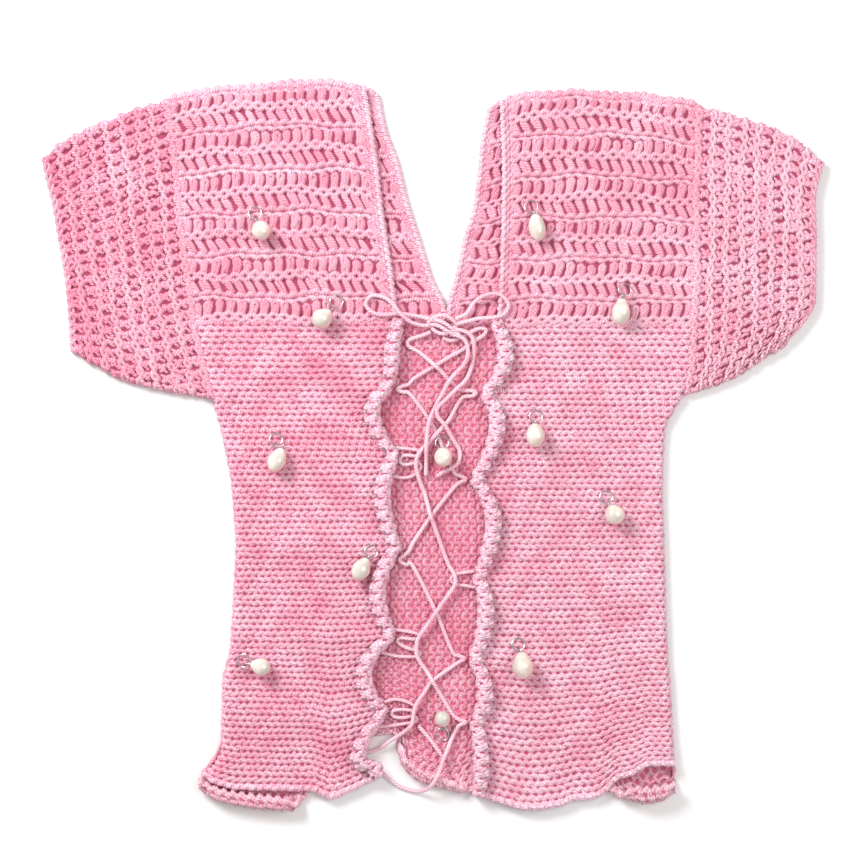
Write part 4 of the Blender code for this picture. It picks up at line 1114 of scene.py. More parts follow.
@dataclass
class Crochet:
    """Rows of double crochet: plump posts of two strands and a core between lines of chain.

    A post's strands are rows of (share of a stitch, share of a row, share of the height), from its foot
    up. Shift, grow and lean are how much posts stray in place, size and slant, each times loose. Lumps
    are (middle, swing) of the upper strand and of the lower one. The chain strays across and off the
    cloth, each by (size, longest wave). Drift, first along the rows and then twice up them, is (size,
    angle in a stitch, angle in a row, share of the seed)."""

    stitch: float = 7.0
    row: float = 12.5
    yarn: float = 1.46
    plump: float = 0.16
    sides: int = 4
    post_step: float = 0.2
    chain_steps: int = 6
    twist: float = 5.4
    low: float = -0.6
    high: float = 0.45
    foot: float = 0.12
    head: float = 0.86
    loose: float = 1.0
    shift: tuple[float, float, float] = (0.26, 0.34, 0.14)
    grow: float = 0.05
    lean: float = 0.06
    swing: float = 0.9
    part: float = 1.4
    cord: float = 1.28
    chain_lag: float = 0.12
    rope_rise: float = 0.35
    rope_swell: float = 0.16
    lump_lag: float = 0.8
    lump_lift: Table = ((0.4, -0.55), (0.0, 0.5))
    lump_rise: Table = ((0.0, 0.15), (-0.5, 0.2))
    lump_swell: Table = ((1.06, -0.28), (1.0, 0.2))
    chain_stray: Table = ((0.2, 5.3), (0.15, 3.1))
    drift: Sequence[Sequence[float]] = ((0.1, 0.4, 0.7, 1), (0.07, 0.55, 0.8, 1), (0.05, 1.3, -0.6, 2))
    uneven: float = 0.16
    tone: float = 0.12
    # Painted highlight: the raised chain bands are painted paler than the posts.
    chain_highlight: float = -0.3

    def posts_of(self, which: Face, counts: np.ndarray, bases: np.ndarray, seed: int) -> list[np.ndarray]:
        """Ring points of the posts of some rows, in stitches along, rows up and millimetres off the cloth.

        Args:
            which: the look of the rows.
            counts: how many stitches each row has.
            bases: number of each row.
            seed: start of the random shifts.

        Returns:
            For each strand of the post, rings of all its copies.
        """
        chance = np.random.default_rng(seed)
        column = np.concatenate([np.arange(count) for count in counts]) + 0.5
        level = np.repeat(bases, counts)
        made = []
        for strand in POSTS[which]:
            line = smooth_route(strand, self.post_step)
            line[:, 1] = self.foot + (self.head - self.foot) * line[:, 1]
            line[:, :2] *= (self.stitch, self.row)
            line[:, 2] = self.low + (self.high - self.low) * line[:, 2]
            taper = 1.0 + self.plump * (0.5 - np.linspace(-1, 1, len(line)) ** 2)
            rings = tube_rings(line[None], self.yarn * taper[None], self.sides)[0]
            shift = chance.normal(0, self.loose, (len(column), 3)) * self.shift
            grow = 1 + chance.normal(0, self.grow * self.loose, (len(column), 1, 1, 1))
            lean = chance.normal(0, self.lean * self.loose, (len(column), 1, 1))
            copies = np.broadcast_to(rings, (len(column),) + rings.shape).copy()
            middle = line.mean(axis=0)
            copies[..., :2] = middle[:2] + (copies[..., :2] - middle[:2]) * grow
            copies[..., 0] += lean * (copies[..., 1] - middle[1])
            copies += shift[:, None, None, :]
            copies[..., 0] = copies[..., 0] / self.stitch + column[:, None, None]
            copies[..., 1] = copies[..., 1] / self.row + level[:, None, None]
            made.append(copies)
        return made

    def chain(self, count: int, level: float, rope: bool, seed: int) -> np.ndarray:
        """Strands that run along the top of a row, in the same units as the posts.

        A rope is two strands that swing about each other as sines. Otherwise the upper strand swells
        into one lump a stitch, and the lower one lies behind it.

        Args:
            count: how many stitches the row has.
            level: number of rows below it.
            rope: whether the strands make a rope.
            seed: start of the random wandering.

        Returns:
            Ring points of the two strands.
        """
        x = np.linspace(0, count, count * self.chain_steps + 1)
        phase = 2 * math.pi * (x - self.chain_lag)
        sine, cosine, later = np.sin(phase), np.cos(phase), np.cos(phase + self.lump_lag)
        if rope:
            lift = np.stack((self.part + self.swing * sine, -self.part - self.swing * sine))
            height = self.high + self.rope_rise * np.stack((cosine, -cosine))
            thick = np.stack((1 - self.rope_swell * cosine, 1 + self.rope_swell * cosine))
        else:
            (up, up_swing), (down, down_swing) = self.lump_lift
            lift = np.stack((self.part + up + up_swing * cosine, -self.part + down + down_swing * later))
            height = self.high + np.stack([middle + swing * sine for middle, swing in self.lump_rise])
            (upper, grow), (lower, shrink) = self.lump_swell
            thick = np.stack((upper + grow * cosine, lower + shrink * sine))
        (size, longest), (rise, rise_longest) = self.chain_stray
        thick = self.yarn * self.cord * thick
        lift = lift + size * wander(2, x, seed, longest)
        height = height + rise * wander(2, x, seed + 1, rise_longest)
        lines = np.stack((np.broadcast_to(x * self.stitch, lift.shape), lift, height), axis=-1)
        rings = tube_rings(lines, thick, self.sides)
        rings[..., 0] /= self.stitch
        rings[..., 1] = rings[..., 1] / self.row + level
        return rings

    def lay(
        self, maker: MeshMaker, cloth: Cloth, rings: np.ndarray, shares: Shares, seed: int, tone: float
    ) -> None:
        """Lays ring points on the cloth, swaying along the rows, but for the first stitch, and up them.

        Args:
            maker: the mesh that takes them.
            cloth: the surface.
            rings: in stitches, rows and millimetres.
            shares: turns stitches and rows into shares across and along.
            seed: start of the random tones.
            tone: how much deeper in colour they are than the piece.
        """
        x, y = rings[..., 0], rings[..., 1]
        sway, *rises = (size * np.sin(a * x + b * y + c * seed) for size, a, b, c in self.drift)
        across, along = shares(x + sway * np.clip(x - 0.5, 0, 1), y + sum(rises))
        tones = np.random.default_rng(seed).normal(self.tone + tone, self.uneven, rings.shape[:1])[:, None]
        maker.add_tubes(cloth.place(across, along, rings[..., 2]), tones, self.twist)


# Trims


@dataclass(frozen=True)
class Strand:
    """One strand of a trim: how far in from the edge it runs, phase of its swing, height, radius and tone."""

    inset: float
    phase: float
    height: float
    radius: float
    tone: float = 0.0


@dataclass(frozen=True)
class Trim:
    """Strands along an edge that swing about one another as sines, and swell twice in each swing.

    Sway and lift are how far they swing in from the edge and off the cloth. Stray is how far they
    wander in, uneven how much their thickness does and mottle how much their tone does, each with its
    longest wave."""

    strands: tuple[Strand, ...]
    sway: float
    lift: float
    swell: float = 0.0
    lag: float = 0.0
    mottle: Pair = (0.4, 0.2)
    stray: Pair = (0.0, 1.0)
    uneven: Pair = (0.0, 1.0)
    seeds: tuple[int, int, int] = (0, 0, 9)
    twist: float = 4.2
    sides: int = 5
    closed: bool = False

    def lay(self, maker: MeshMaker, at: np.ndarray, swing: np.ndarray, put: Put, seed: int) -> None:
        """Adds the strands.

        Args:
            maker: the mesh that takes them.
            at: places along the edge.
            swing: angle of the swing at each place.
            put: turns places along the edge, places in from it and heights into points.
            seed: start of the random wandering.
        """
        stray, uneven, mottle = (
            size * wander(1, at, seed + shift, wave)
            for (size, wave), shift in zip((self.stray, self.uneven, self.mottle), self.seeds)
        )
        for strand in self.strands:
            turn = swing + strand.phase
            inset = strand.inset + self.sway * np.sin(turn) + stray[0]
            line = put(at, inset, strand.height + self.lift * np.cos(turn))
            thick = strand.radius * (1 + self.swell * np.cos(2 * swing + self.lag) + uneven)
            rings = tube_rings(line[None], thick, self.sides)
            maker.add_tubes(rings, strand.tone + mottle, self.twist, closed=self.closed)


BIND_OFF = Trim((Strand(0.0, 0.0, 0.0, 1.1), Strand(0.008, math.pi, 0.0, 1.1)), sway=-0.006, lift=0.5)
# Painted highlight: the rolled hem's strands are painted paler, for the light on the raised roll.
HEM = Trim(
    (Strand(0.004, 0.0, 0.4, 1.75, -0.5), Strand(0.004, math.pi, -0.5, 1.75, -0.5)), sway=0.003, lift=0.5,
    swell=0.16, mottle=(0.3, 0.1), stray=(0.001, 0.1), uneven=(0.1, 0.06), seeds=(21, 23, 25),
)
# Painted light: the neck edging's outer, highest strand is painted paler and its lowest one a little deeper.
NECK = Trim(
    (Strand(0.6, 0.0, 0.9, 1.85, -0.7), Strand(3.1, math.pi, 0.2, 1.6), Strand(5.3, 0.6, 0.1, 1.5, 0.1)),
    sway=0.35, lift=0.3, swell=0.12, lag=-math.pi / 2, mottle=(0.3, 0.2),
)
CUFF = Trim(
    (Strand(0.002, 0.0, 0.2, 1.2), Strand(0.024, math.pi, 0.2, 1.2)), sway=-0.007, lift=0.3, closed=True
)
ARMHOLE = Trim(
    (Strand(0.0, 0.0, 4.7, 1.3), Strand(0.0, math.pi, 4.7, 1.3)), sway=1.15, lift=0.6, swell=0.15,
    mottle=(0.3, 25.0), stray=(0.3, 40.0), seeds=(0, 0, 5), twist=5.4,
)


# Pieces of cloth


@dataclass(frozen=True)
class Make:
    """How a piece is made: spans of its thin wall, heights of the wall's sides, finishes and slot.

    A span is (from, to, points), in shares of the cloth. Pressed stitches lie flat on the ground."""

    across: Spans
    along: Spans
    sides: tuple[float, float]
    # ground: the wall's finish, painted shade for the hollows between the stitches
    ground: Finish
    yarn: Finish
    slot: str
    pressed: bool = True


@dataclass
class Piece:
    """A piece of cloth: a thin wall in its solid's form, with stitches on it."""

    make: ClassVar[Make]
    name: str

    def cloth(self) -> Cloth:
        """The middle surface."""
        raise NotImplementedError

    def dress(self, maker: MeshMaker, cloth: Cloth, seed: int) -> None:
        """Adds the stitches, from a start of the random numbers."""
        raise NotImplementedError

    def cut(self, cloth: Cloth) -> tuple[float, float]:
        """Size of the flat piece, in metres."""
        raise NotImplementedError

    def build(self, rests: list[Any], seed: int) -> bpy.types.Object:
        """Args:
            rests: what it lies on; not used.
            seed: start of the random numbers.

        Returns:
            The cloth.
        """
        cloth = self.cloth()
        shell = sheet_wall(self.name + "_cloth", cloth, self.make).finish(self.make.ground, self.make.slot)
        maker = MeshMaker(self.name + "_stitches")
        self.dress(maker, cloth, seed)
        if self.make.pressed:
            maker.press()
        yarn = maker.finish(self.make.yarn, self.make.slot, self.name)
        flat = self.cut(cloth)
        area = min(cloth.area(), flat[0] * flat[1])
        size = (flat[0] / MM, flat[1] / MM, area * 1e4)
        log.info("%s: cut %.0f by %.0f mm, %.0f square centimetres", shell.name, *size)
        return shell


@dataclass
class FrontPanel(Piece):
    """One front: it rises round the side fold, lies flat and curls up and back along its scalloped edge."""

    make = Make(
        ((0.0, 0.07, 9), (0.09, 0.84, 15), (0.86, 0.992, 18)), ((0.004, 0.996, 70),), (-0.8, 0.15),
        KNIT_HOLLOW_SHADE, KNIT_YARN, "knit", pressed=False,
    )
    outline: Outline
    scallops: tuple[Scallop, ...]
    courses: int
    wales: int = 39
    rows: int = 190
    columns: int = 150
    # tone: painted light, a shift of the whole front's colour; the right front is painted lighter, where the
    # light falls brighter
    tone: float = 0.0
    hem_reach: float = 5.0
    under_radius: float = 1.5
    curl_from: float = 0.87
    fade_turn: float = 1.2
    fade_least: float = 0.35
    fade_side: float = 8.0
    foot_part: float = 0.02
    foot_belly: float = 0.3
    bind_swings: float = 1.4
    bind_points: int = 10
    hem_span: Pair = (0.02, 0.97)
    hem_points: int = 9
    knitting: Knitting = field(default_factory=Knitting)

    def edge(self, y: np.ndarray) -> tuple[np.ndarray, np.ndarray]:
        """The curled edge down the front.

        From a pinch the edge falls back to the belly as a quarter of a sine, and swings out again to
        the next pinch as a quarter of a cosine.

        Args:
            y: places along the edge.

        Returns:
            x of the edge, and how near the belly each place is, from 0 to 1.
        """
        pinch_y, pinch_x, belly_y, belly_x = np.array([astuple(scallop) for scallop in self.scallops]).T
        last = len(pinch_y) - 1
        k = last - np.clip(np.searchsorted(pinch_y[::-1], y, side="left"), 1, last)
        low, deep = belly_y[k], belly_x[k]
        fall = np.sin(math.pi / 2 * np.clip((pinch_y[k] - y) / (pinch_y[k] - low), 0, 1))
        rise = 1 - np.cos(math.pi / 2 * np.clip((low - y) / (low - pinch_y[k + 1]), 0, 1))
        upper = y >= low
        x = np.where(upper, deep + (pinch_x[k] - deep) * (1 - fall), deep + (pinch_x[k + 1] - deep) * rise)
        return x, np.where(upper, fall, 1 - rise)

    def cloth(self) -> Cloth:
        """The middle surface, from the side fold to the end of the curl and from the hem to the yoke seam.

        Its section is an arc that turns up round the side, a slope that eases down, a flat run and an
        arc that turns up and back by the curl's turn, all by distance along the cloth. The wales run
        level, and bend with the hem only close to it.

        Returns:
            The surface.
        """
        side, hem, way = side_line(self.outline), self.outline.hem_across, self.outline.toward
        top = self.outline.seam - BUILD.gap / 2
        last = self.scallops[-1].pinch_y
        part = np.linspace(0, 1, self.rows)[:, None]
        level = float(np.mean([row[1] for row in hem]))
        near_hem = (1 - part) ** self.hem_reach
        edge_y = level + part * (self.scallops[0].pinch_y - level) + (last - level) * near_hem
        edge_x, belly = self.edge(edge_y)
        belly = np.where(part < self.foot_part, self.foot_belly, belly)
        side_hem = follow(hem, side(hem[0][1]))
        side_x = side(level + part * (top - level) + (side_hem - level) * near_hem)
        wall, radius, ease = BUILD.knit_wall, BUILD.fold_radius, BUILD.fold_ease
        curl = BUILD.curl_pinch + (BUILD.curl_belly - BUILD.curl_pinch) * belly
        start = np.abs(edge_x - side_x) - wall - curl
        middle, crest = BUILD.front_level + wall / 2, BUILD.front_level + radius
        under = self.under_radius
        even = (math.pi / 2 * under, math.pi / 2 * radius, math.hypot(ease, crest - middle))
        lengths = [length + 0 * start for length in even] + [start - radius - ease, BUILD.curl_turn * curl]
        s = np.linspace(0, 1, self.columns)[None, :] * sum(lengths)
        marks = np.cumsum(np.stack(lengths), axis=0)
        a0 = np.clip(s / under, 0, math.pi / 2)
        a1 = np.clip((s - marks[0]) / radius, 0, math.pi / 2)
        slope = np.clip((s - marks[1]) / lengths[2], 0, 1)
        smooth = slope**2 * (3 - 2 * slope)
        flat = np.clip(s - marks[2], 0, lengths[3])
        turn = np.clip((s - marks[3]) / curl, 0, BUILD.curl_turn)
        across = under * (1 - np.sin(a0)) + radius * (1 - np.cos(a1)) + ease * slope + flat
        across = across + curl * np.sin(turn)
        height = BUILD.front_level - under * np.cos(a0) + radius * np.sin(a1) - (crest - middle) * smooth
        height = height + curl * (1 - np.cos(turn))
        x = side_x + way * (wall / 2 + across)
        base = follow(hem, x)
        y = level + part * (top - level) + (base - level) * near_hem
        fade = np.maximum(1 - np.clip(turn / self.fade_turn, 0, 1), self.fade_least)
        z = height + swell(x, y) * fade * np.clip(s / self.fade_side, 0, 1)
        return Cloth(np.stack((x, y, z), axis=-1), outward=way)

    def cut(self, cloth: Cloth) -> tuple[float, float]:
        """The longest row and the longest column."""
        return float(cloth.lengths(1).max()), float(cloth.lengths(0).max())

    def dress(self, maker: MeshMaker, cloth: Cloth, seed: int) -> None:
        """Adds the knitting, the chain that ends the curled edge, and the lumpy rolled hem."""
        heads = Side.BACK if self.outline.toward > 0 else Side.OUT
        fabric = Fabric(self.courses, self.wales, heads, plump_from=self.curl_from, tone=self.tone)
        self.knitting.stitches(maker, cloth, fabric, np.arange(self.courses), seed)
        t = np.linspace(0.0, 1.0, self.wales * self.bind_points)
        swing = 2 * math.pi * t * self.wales * self.bind_swings
        BIND_OFF.lay(maker, t, swing, lambda t, x, z: cloth.place(1 - x, t, z), seed)
        t = np.linspace(*self.hem_span, self.courses * self.hem_points)
        # The front's painted light carries on to its hem.
        strands = tuple(replace(strand, tone=strand.tone + self.tone) for strand in HEM.strands)
        hem = replace(HEM, strands=strands)
        hem.lay(maker, t, 2 * math.pi * t * self.courses, cloth.place, seed)


@dataclass
class BackPanel(Piece):
    """The back: it lies flat, purl side up, and its hem rolls up at the corners and in the middle."""

    make = Make(
        ((0.006, 0.994, 90),), ((0.004, 0.09, 14), (0.11, 0.998, 24)), (-0.6, 0.45),
        BACK_HOLLOW_SHADE, BACK_YARN_SHADED, "knit",
    )
    courses: int = 54
    wales: int = 42
    rows: int = 170
    columns: int = 200
    seen: tuple[int, int] = (18, 36)
    fine: Knitting = field(default_factory=lambda: Knitting(steps=11, yarn=1.48, level=-0.1))
    coarse: Knitting = field(default_factory=lambda: Knitting(steps=6, yarn=1.5, level=-0.1))
    even_length: float = 285.0
    even_part: float = 0.72
    draw: float = 1.3
    least_turn: float = 0.5
    side_lift: float = 0.7
    side_reach: float = 2.5
    flat: Pair = (0.300, 0.320)

    def cloth(self) -> Cloth:
        """The middle surface, across from left to right, and along from the rolled hem to the yoke seam.

        A column runs flat down to where the roll starts; there it turns up by an arc whose length and
        turn are read between the rows of the hem's table. The wales are evenly spaced but for the part
        next to the hem, which is drawn out or in to end at the hem.

        Returns:
            The surface.
        """
        middle = BUILD.knit_wall / 2
        top = min(LEFT.seam, RIGHT.seam) - BUILD.gap / 2
        marks, *columns = np.array([astuple(row) for row in BACK_HEM]).T
        first, last = marks[0], marks[-1]
        share = np.linspace(0, 1, self.columns)[None, :]
        place = first + share * (last - first)
        outline, length, turn = (np.interp(place, marks, column) for column in columns)
        full = np.radians(np.maximum(turn, self.least_turn))
        radius = length / full
        reach = radius * np.sin(np.minimum(full, math.pi / 2)) + middle * np.minimum(full / (math.pi / 2), 1)
        start = outline + reach
        total = top - start + length
        down = np.linspace(1, 0, self.rows)[:, None]
        last_part = np.clip((down - self.even_part) / (1 - self.even_part), 0, 1) ** self.draw
        s = self.even_length * down + (total - self.even_length) * last_part
        turned = np.clip((s - (top - start)) / radius, 0, full)
        y = top - np.minimum(s, top - start) - radius * np.sin(turned)
        z = middle + radius * (1 - np.cos(turned))
        left, right = side_line(LEFT)(y), side_line(RIGHT)(y)
        x = left + (right - left) * share
        edge = np.minimum(share, 1 - share) * (last - first)
        z = z + self.side_lift * np.exp(-((edge / self.side_reach) ** 2))
        return Cloth(np.stack((x, y, z + 0 * x), axis=-1))

    def cut(self, cloth: Cloth) -> tuple[float, float]:
        """The whole back, by its counts of stitches and rows."""
        return self.flat

    def dress(self, maker: MeshMaker, cloth: Cloth, seed: int) -> None:
        """Adds the knitting, purl side up, finer where it is seen."""
        turned = Cloth(cloth.points, outward=-1)
        # tone 0.05: painted shade, the back a little deeper, as it lies in the shade between the fronts.
        fabric = Fabric(self.courses, self.wales, Side.BACK, hem=0.09, tone=0.05)
        numbers = np.arange(self.courses)
        seen = (numbers >= self.seen[0]) & (numbers < self.seen[1])
        self.fine.stitches(maker, turned, fabric, numbers[seen], seed)
        self.coarse.stitches(maker, turned, fabric, numbers[~seen], seed + 20)


@dataclass
class YokeHalf(Piece):
    """One half of the front or the back yoke, in crochet rows from the body's seam up to the shoulder.

    Of a pair of numbers the first is the back yoke's and the second the front's."""

    make = Make(
        ((0.01, 0.985, 20),), ((0.006, 0.985, 40),), (-0.8, -0.1), CROCHET_HOLLOW_SHADE, CROCHET_YARN, "crochet"
    )
    outline: Outline
    front: bool
    stitches: int
    rows: int = 120
    columns: int = 100
    top_inset: float = 0.22
    chain_rise: float = 0.02
    round_from: float = 3.0
    round_rise: Pair = (1.1, -1.3)
    edges: Pair = (0.985, 0.965)
    edge_points: int = 260
    edge_swings: int = 30
    crochet: Crochet = field(default_factory=Crochet)

    def cloth(self) -> Cloth:
        """The middle surface, across from the armhole to the neck, and along from the seam to the shoulder.

        Each row runs straight from the armhole to the neck, and its height up the yoke is a share of
        the way to the shoulder line above each place. The last few millimetres round over to the other
        half at the shoulder.

        Returns:
            The surface.
        """
        line = self.outline
        neck = line.neck_front if self.front else line.neck_back
        seam = line.seam + BUILD.gap / 2
        armhole = sorted(line.armhole)
        share = np.linspace(0, 1, self.rows)[:, None]
        outer_y = seam + share * (follow(line.shoulder_across, armhole[-1][1]) - seam)
        inner_y = seam + share * (follow(line.shoulder_across, neck[0][1]) - seam)
        start, end = straight(line.armhole, outer_y), follow(neck, inner_y)
        way = line.toward
        width = np.abs(end - start) - BUILD.gap / 2
        x = start + way * (BUILD.gap / 2 + np.linspace(0, 1, self.columns)[None, :] * width)
        y = seam + share * (follow(line.shoulder_across, x) - seam)
        left = (1 - share) * (y[-1:] - seam)
        bend = 1 - np.sqrt(1 - np.clip(1 - left / self.round_from, 0, 1) ** 2)
        level = BUILD.yoke_level + BUILD.front_yoke_wall / 2 if self.front else BUILD.back_yoke_wall / 2
        z = level + self.round_rise[self.front] * bend
        return Cloth(np.stack((x, y, z), axis=-1), outward=way)

    def cut(self, cloth: Cloth) -> tuple[float, float]:
        """Width and height of the outline."""
        return float(np.ptp(cloth.points[:, :, 0])) * MM, float(np.ptp(cloth.points[:, :, 1])) * MM

    def shares(self, x: np.ndarray, y: np.ndarray) -> tuple[np.ndarray, np.ndarray]:
        """Shares of a place that is given in stitches from the armhole or the neck, and in rows."""
        edge = self.edges[self.front]
        across = x / self.stitches * edge
        return (across if self.outline.toward > 0 else edge - across), y / BUILD.yoke_rows

    def dress(self, maker: MeshMaker, cloth: Cloth, seed: int) -> None:
        """Adds the crochet rows, whose faces take turns, and the neck's edging."""
        for face, first in ((Face.WRONG, 0), (Face.RIGHT, 1)):
            bases = np.arange(first, BUILD.yoke_rows, 2)
            counts = np.full(len(bases), self.stitches)
            for rings in self.crochet.posts_of(face, counts, bases, seed + len(face.value)):
                self.crochet.lay(maker, cloth, rings, self.shares, seed, 0.0)
        for row in range(BUILD.yoke_rows + 1):
            level = min(row + self.chain_rise, BUILD.yoke_rows - self.top_inset)
            rings = self.crochet.chain(self.stitches, level, row % 2 == 0, seed + row)
            self.crochet.lay(maker, cloth, rings, self.shares, seed + row, self.crochet.chain_highlight)
        t = np.linspace(0.0, 1.0, self.edge_points)
        width = float(np.ptp(cloth.points[0, :, 0]))
        swing = 2 * math.pi * t * self.edge_swings
        NECK.lay(maker, t, swing, lambda t, x, z: cloth.place(1 - x / width, t, z), seed)


@dataclass
class Sleeve(Piece):
    """A short sleeve: a flattened tube, worked in rounds that run parallel to its cuff."""

    make = Make(
        ((0.0, 1 - 1 / 110, 110),), ((0.01, 0.985, 20),), (-0.75, -0.1),
        CROCHET_HOLLOW_SHADE, CROCHET_YARN, "crochet",
    )
    outline: Outline
    rows: int = 70
    columns: int = 361
    # tone: painted light and shade, a shift of the whole sleeve's colour: the left sleeve is painted deeper
    # and the right one lighter, as the light falls brighter on the right
    tone: float = 0.0
    # Painted shade: the first rows by the cuff are painted deeper, for the shade in the low band by the left
    # cuff.
    cuff_shade: float = 0.0
    cuff_rows: float = 3.0
    chain_rise: float = 0.98
    flat_length: float = 0.098
    cuff_points: int = 400
    cuff_swings: int = 44
    seam_past: Pair = (1.0, 4.0)
    seam_points: int = 300
    seam_stitch: float = 6.4
    # The sleeve's chain is painted paler still, a painted highlight on its raised bands.
    crochet: Crochet = field(default_factory=lambda: Crochet(
        stitch=7.2, row=10.4, yarn=1.52, post_step=0.3, high=0.6, loose=1.5, swing=1.0, part=0.85, cord=1.15,
        chain_highlight=-0.4
    ))

    def rim(self, share: np.ndarray, upper: bool) -> np.ndarray:
        """The upper or the lower fold as (x, y), by share of the way from the armhole to the cuff."""
        table = self.outline.sleeve_top_across if upper else self.outline.sleeve_under_across
        xs = sorted(row[0] for row in table)
        start, end = (xs[-1], xs[0]) if self.outline.toward > 0 else (xs[0], xs[-1])
        x = start + (end - start) * share
        return np.stack((x, follow(table, x)), axis=-1)

    def end(self, share: np.ndarray, cuff: bool) -> np.ndarray:
        """The armhole or the cuff as (x, y), by share of the way down."""
        table = sorted(self.outline.cuff if cuff else self.outline.armhole)
        y = table[-1][0] + (table[0][0] - table[-1][0]) * share
        x = follow(table, y) if cuff else straight(table, y)
        return np.stack((x, y), axis=-1)

    def cloth(self) -> Cloth:
        """The middle surface: once round the tube across, and from the armhole to the cuff along.

        A place on the flat outline is the patch between the four edge lines. Round the tube the
        distance from the upper fold and the height follow a long slot with round ends.

        Returns:
            The surface.
        """
        s = np.linspace(0, 1, self.rows)
        high, low = self.rim(s, True), self.rim(s, False)
        length = np.linalg.norm(low - high, axis=1)[:, None]
        half = BUILD.sleeve_height / 2
        radius = half - BUILD.sleeve_wall / 2
        inset = half - radius
        run = length - 2 * half
        quarter = math.pi / 2 * radius
        total = 2 * run + 4 * quarter
        t = np.linspace(0, 1, self.columns)[None, :] * total
        first = np.clip(t / radius, 0, math.pi / 2)
        over = np.clip(t - quarter, 0, run)
        second = np.clip((t - quarter - run) / radius, 0, math.pi)
        under = np.clip(t - 3 * quarter - run, 0, run)
        third = np.clip((t - 3 * quarter - 2 * run) / radius, 0, math.pi / 2)
        down = (inset + radius * (1 - np.cos(first)) + over + radius * np.sin(second) - under
                - radius * np.sin(third))
        height = half + radius * np.sin(first) - radius * (1 - np.cos(second)) + radius * (1 - np.cos(third))
        w = (down / length)[..., None]
        along = s[:, None, None]
        start, end = self.end(w[..., 0], False), self.end(w[..., 0], True)
        corners = [self.end(np.array(k), c) for c in (False, True) for k in (0.0, 1.0)]
        blend = ((1 - along) * (1 - w) * corners[0] + (1 - along) * w * corners[1]
                 + along * (1 - w) * corners[2] + along * w * corners[3])
        flat = (1 - w) * high[:, None, :] + w * low[:, None, :] + (1 - along) * start + along * end - blend
        x = flat[..., 0] - self.outline.toward * BUILD.gap / 2 * (1 - s[:, None])
        return Cloth(np.stack((x, flat[..., 1], height), axis=-1), outward=-self.outline.toward, wraps=True)

    def cut(self, cloth: Cloth) -> tuple[float, float]:
        """The longest round, and the length from armhole to cuff."""
        return float(cloth.lengths(1).max()), self.flat_length

    def dress(self, maker: MeshMaker, cloth: Cloth, seed: int) -> None:
        """Adds the rounds of crochet, two strands round the cuff and two down the armhole's seam."""
        number, way = BUILD.sleeve_rows, self.outline.toward
        at = ((np.arange(number) + 0.5) / number * (self.rows - 1)).astype(int)
        counts = np.round(cloth.lengths(1)[at] / MM / self.crochet.stitch).astype(int)[::-1]
        for row, count in enumerate(counts.tolist()):

            def shares(x: np.ndarray, y: np.ndarray, count: int = count) -> tuple[np.ndarray, np.ndarray]:
                """Shares of a place that is given in stitches round the sleeve and in rows from the cuff."""
                return way * x / count, 1 - y / number

            # Painted shade deepens the rows next to the cuff.
            tone = self.tone + self.cuff_shade * max(0.0, 1 - row / self.cuff_rows)
            for rings in self.crochet.posts_of(Face.ROUND, np.array([count]), np.array([row]), seed + row):
                self.crochet.lay(maker, cloth, rings, shares, seed + row, tone)
            rings = self.crochet.chain(count, row + self.chain_rise, True, seed + 40 + row)
            self.crochet.lay(maker, cloth, rings, shares, seed + row, tone + self.crochet.chain_highlight)
        t = np.linspace(0.0, 1.0, self.cuff_points, endpoint=False)
        CUFF.lay(maker, t, 2 * math.pi * t * self.cuff_swings, lambda t, x, z: cloth.place(t, 1 - x, z), seed)
        armhole = sorted(self.outline.armhole)
        below, above = self.seam_past
        y = np.linspace(armhole[-1][0] - below, armhole[0][0] + above, self.seam_points)

        def seam(y: np.ndarray, x: np.ndarray, z: np.ndarray) -> np.ndarray:
            """Points beside the armhole."""
            return np.stack((straight(armhole, y) + x, y, z), axis=1)

        ARMHOLE.lay(maker, y, 2 * math.pi * (y[0] - y) / self.seam_stitch, seam, seed)


# Lace


@dataclass(frozen=True)
class Heights:
    """Heights of a lace's middle.

    They are on the back, over one strand, over two, on the ground, on the yoke, and those of an edge
    loop."""

    low: float = 4.2
    rising: float = 5.8
    over: float = 8.0
    topmost: float = 9.0
    floor: float = 1.35
    on_yoke: float = 8.0
    leg: float = 4.1


H = Heights()


def level(height: float, places: Sequence[tuple[float, float]]) -> Places:
    """A stretch of a route at one height."""
    return tuple((x, y, height) for x, y in places)


@dataclass
class Lace:
    """A round three-ply cord along its route."""

    name: str
    route: Places
    diameter: float = BUILD.lace_diameter
    far_end: str = "object"
    sides: int = 12
    step: float = 0.7
    twist: float = 6.6
    plies: int = 3
    core: float = 0.8
    ply: float = 0.24
    tip: float = 0.4
    tip_length: float = 2.5

    def path(self) -> np.ndarray:
        """The cord's middle line, in millimetres."""
        return smooth_route(self.route, self.step, H.floor)

    def rings(self) -> np.ndarray:
        """A round section along the route, with a bulge for each ply; they turn along it as the cord twists.

        Returns:
            Ring points, (1, rings, sides, 3).
        """
        line = self.path()
        rings = tube_rings(line[None], self.diameter / 2, self.sides)
        travelled = np.arange(len(line)) * self.step
        angle = np.arange(self.sides) * 2 * math.pi / self.sides
        turned = angle[None, :] - 2 * math.pi * travelled[:, None] / self.twist
        bulge = np.abs(np.cos(turned * self.plies / 2))
        taper = np.ones(len(travelled))
        if self.far_end == "bare":
            taper = np.clip(self.tip + travelled[::-1] / self.tip_length, 0, 1)
        grow = (self.core + self.ply * bulge) * taper[:, None]
        return line[None, :, None, :] + (rings - line[None, :, None, :]) * grow[None, :, :, None]

    def build(self) -> bpy.types.Object:
        """Makes the cord."""
        rings = self.rings()
        maker = MeshMaker(self.name + "_cord")
        travelled = np.arange(rings.shape[1]) * self.step
        maker.add_tubes(rings, 0.3 * wander(1, travelled, len(self.name), 60.0), self.twist)
        return maker.finish(LACE_YARN, "lace", self.name)

    def declare(self, item: bpy.types.Object, others: Sequence[Any] = ()) -> None:
        path = (self.path() - MIDDLE) * MM


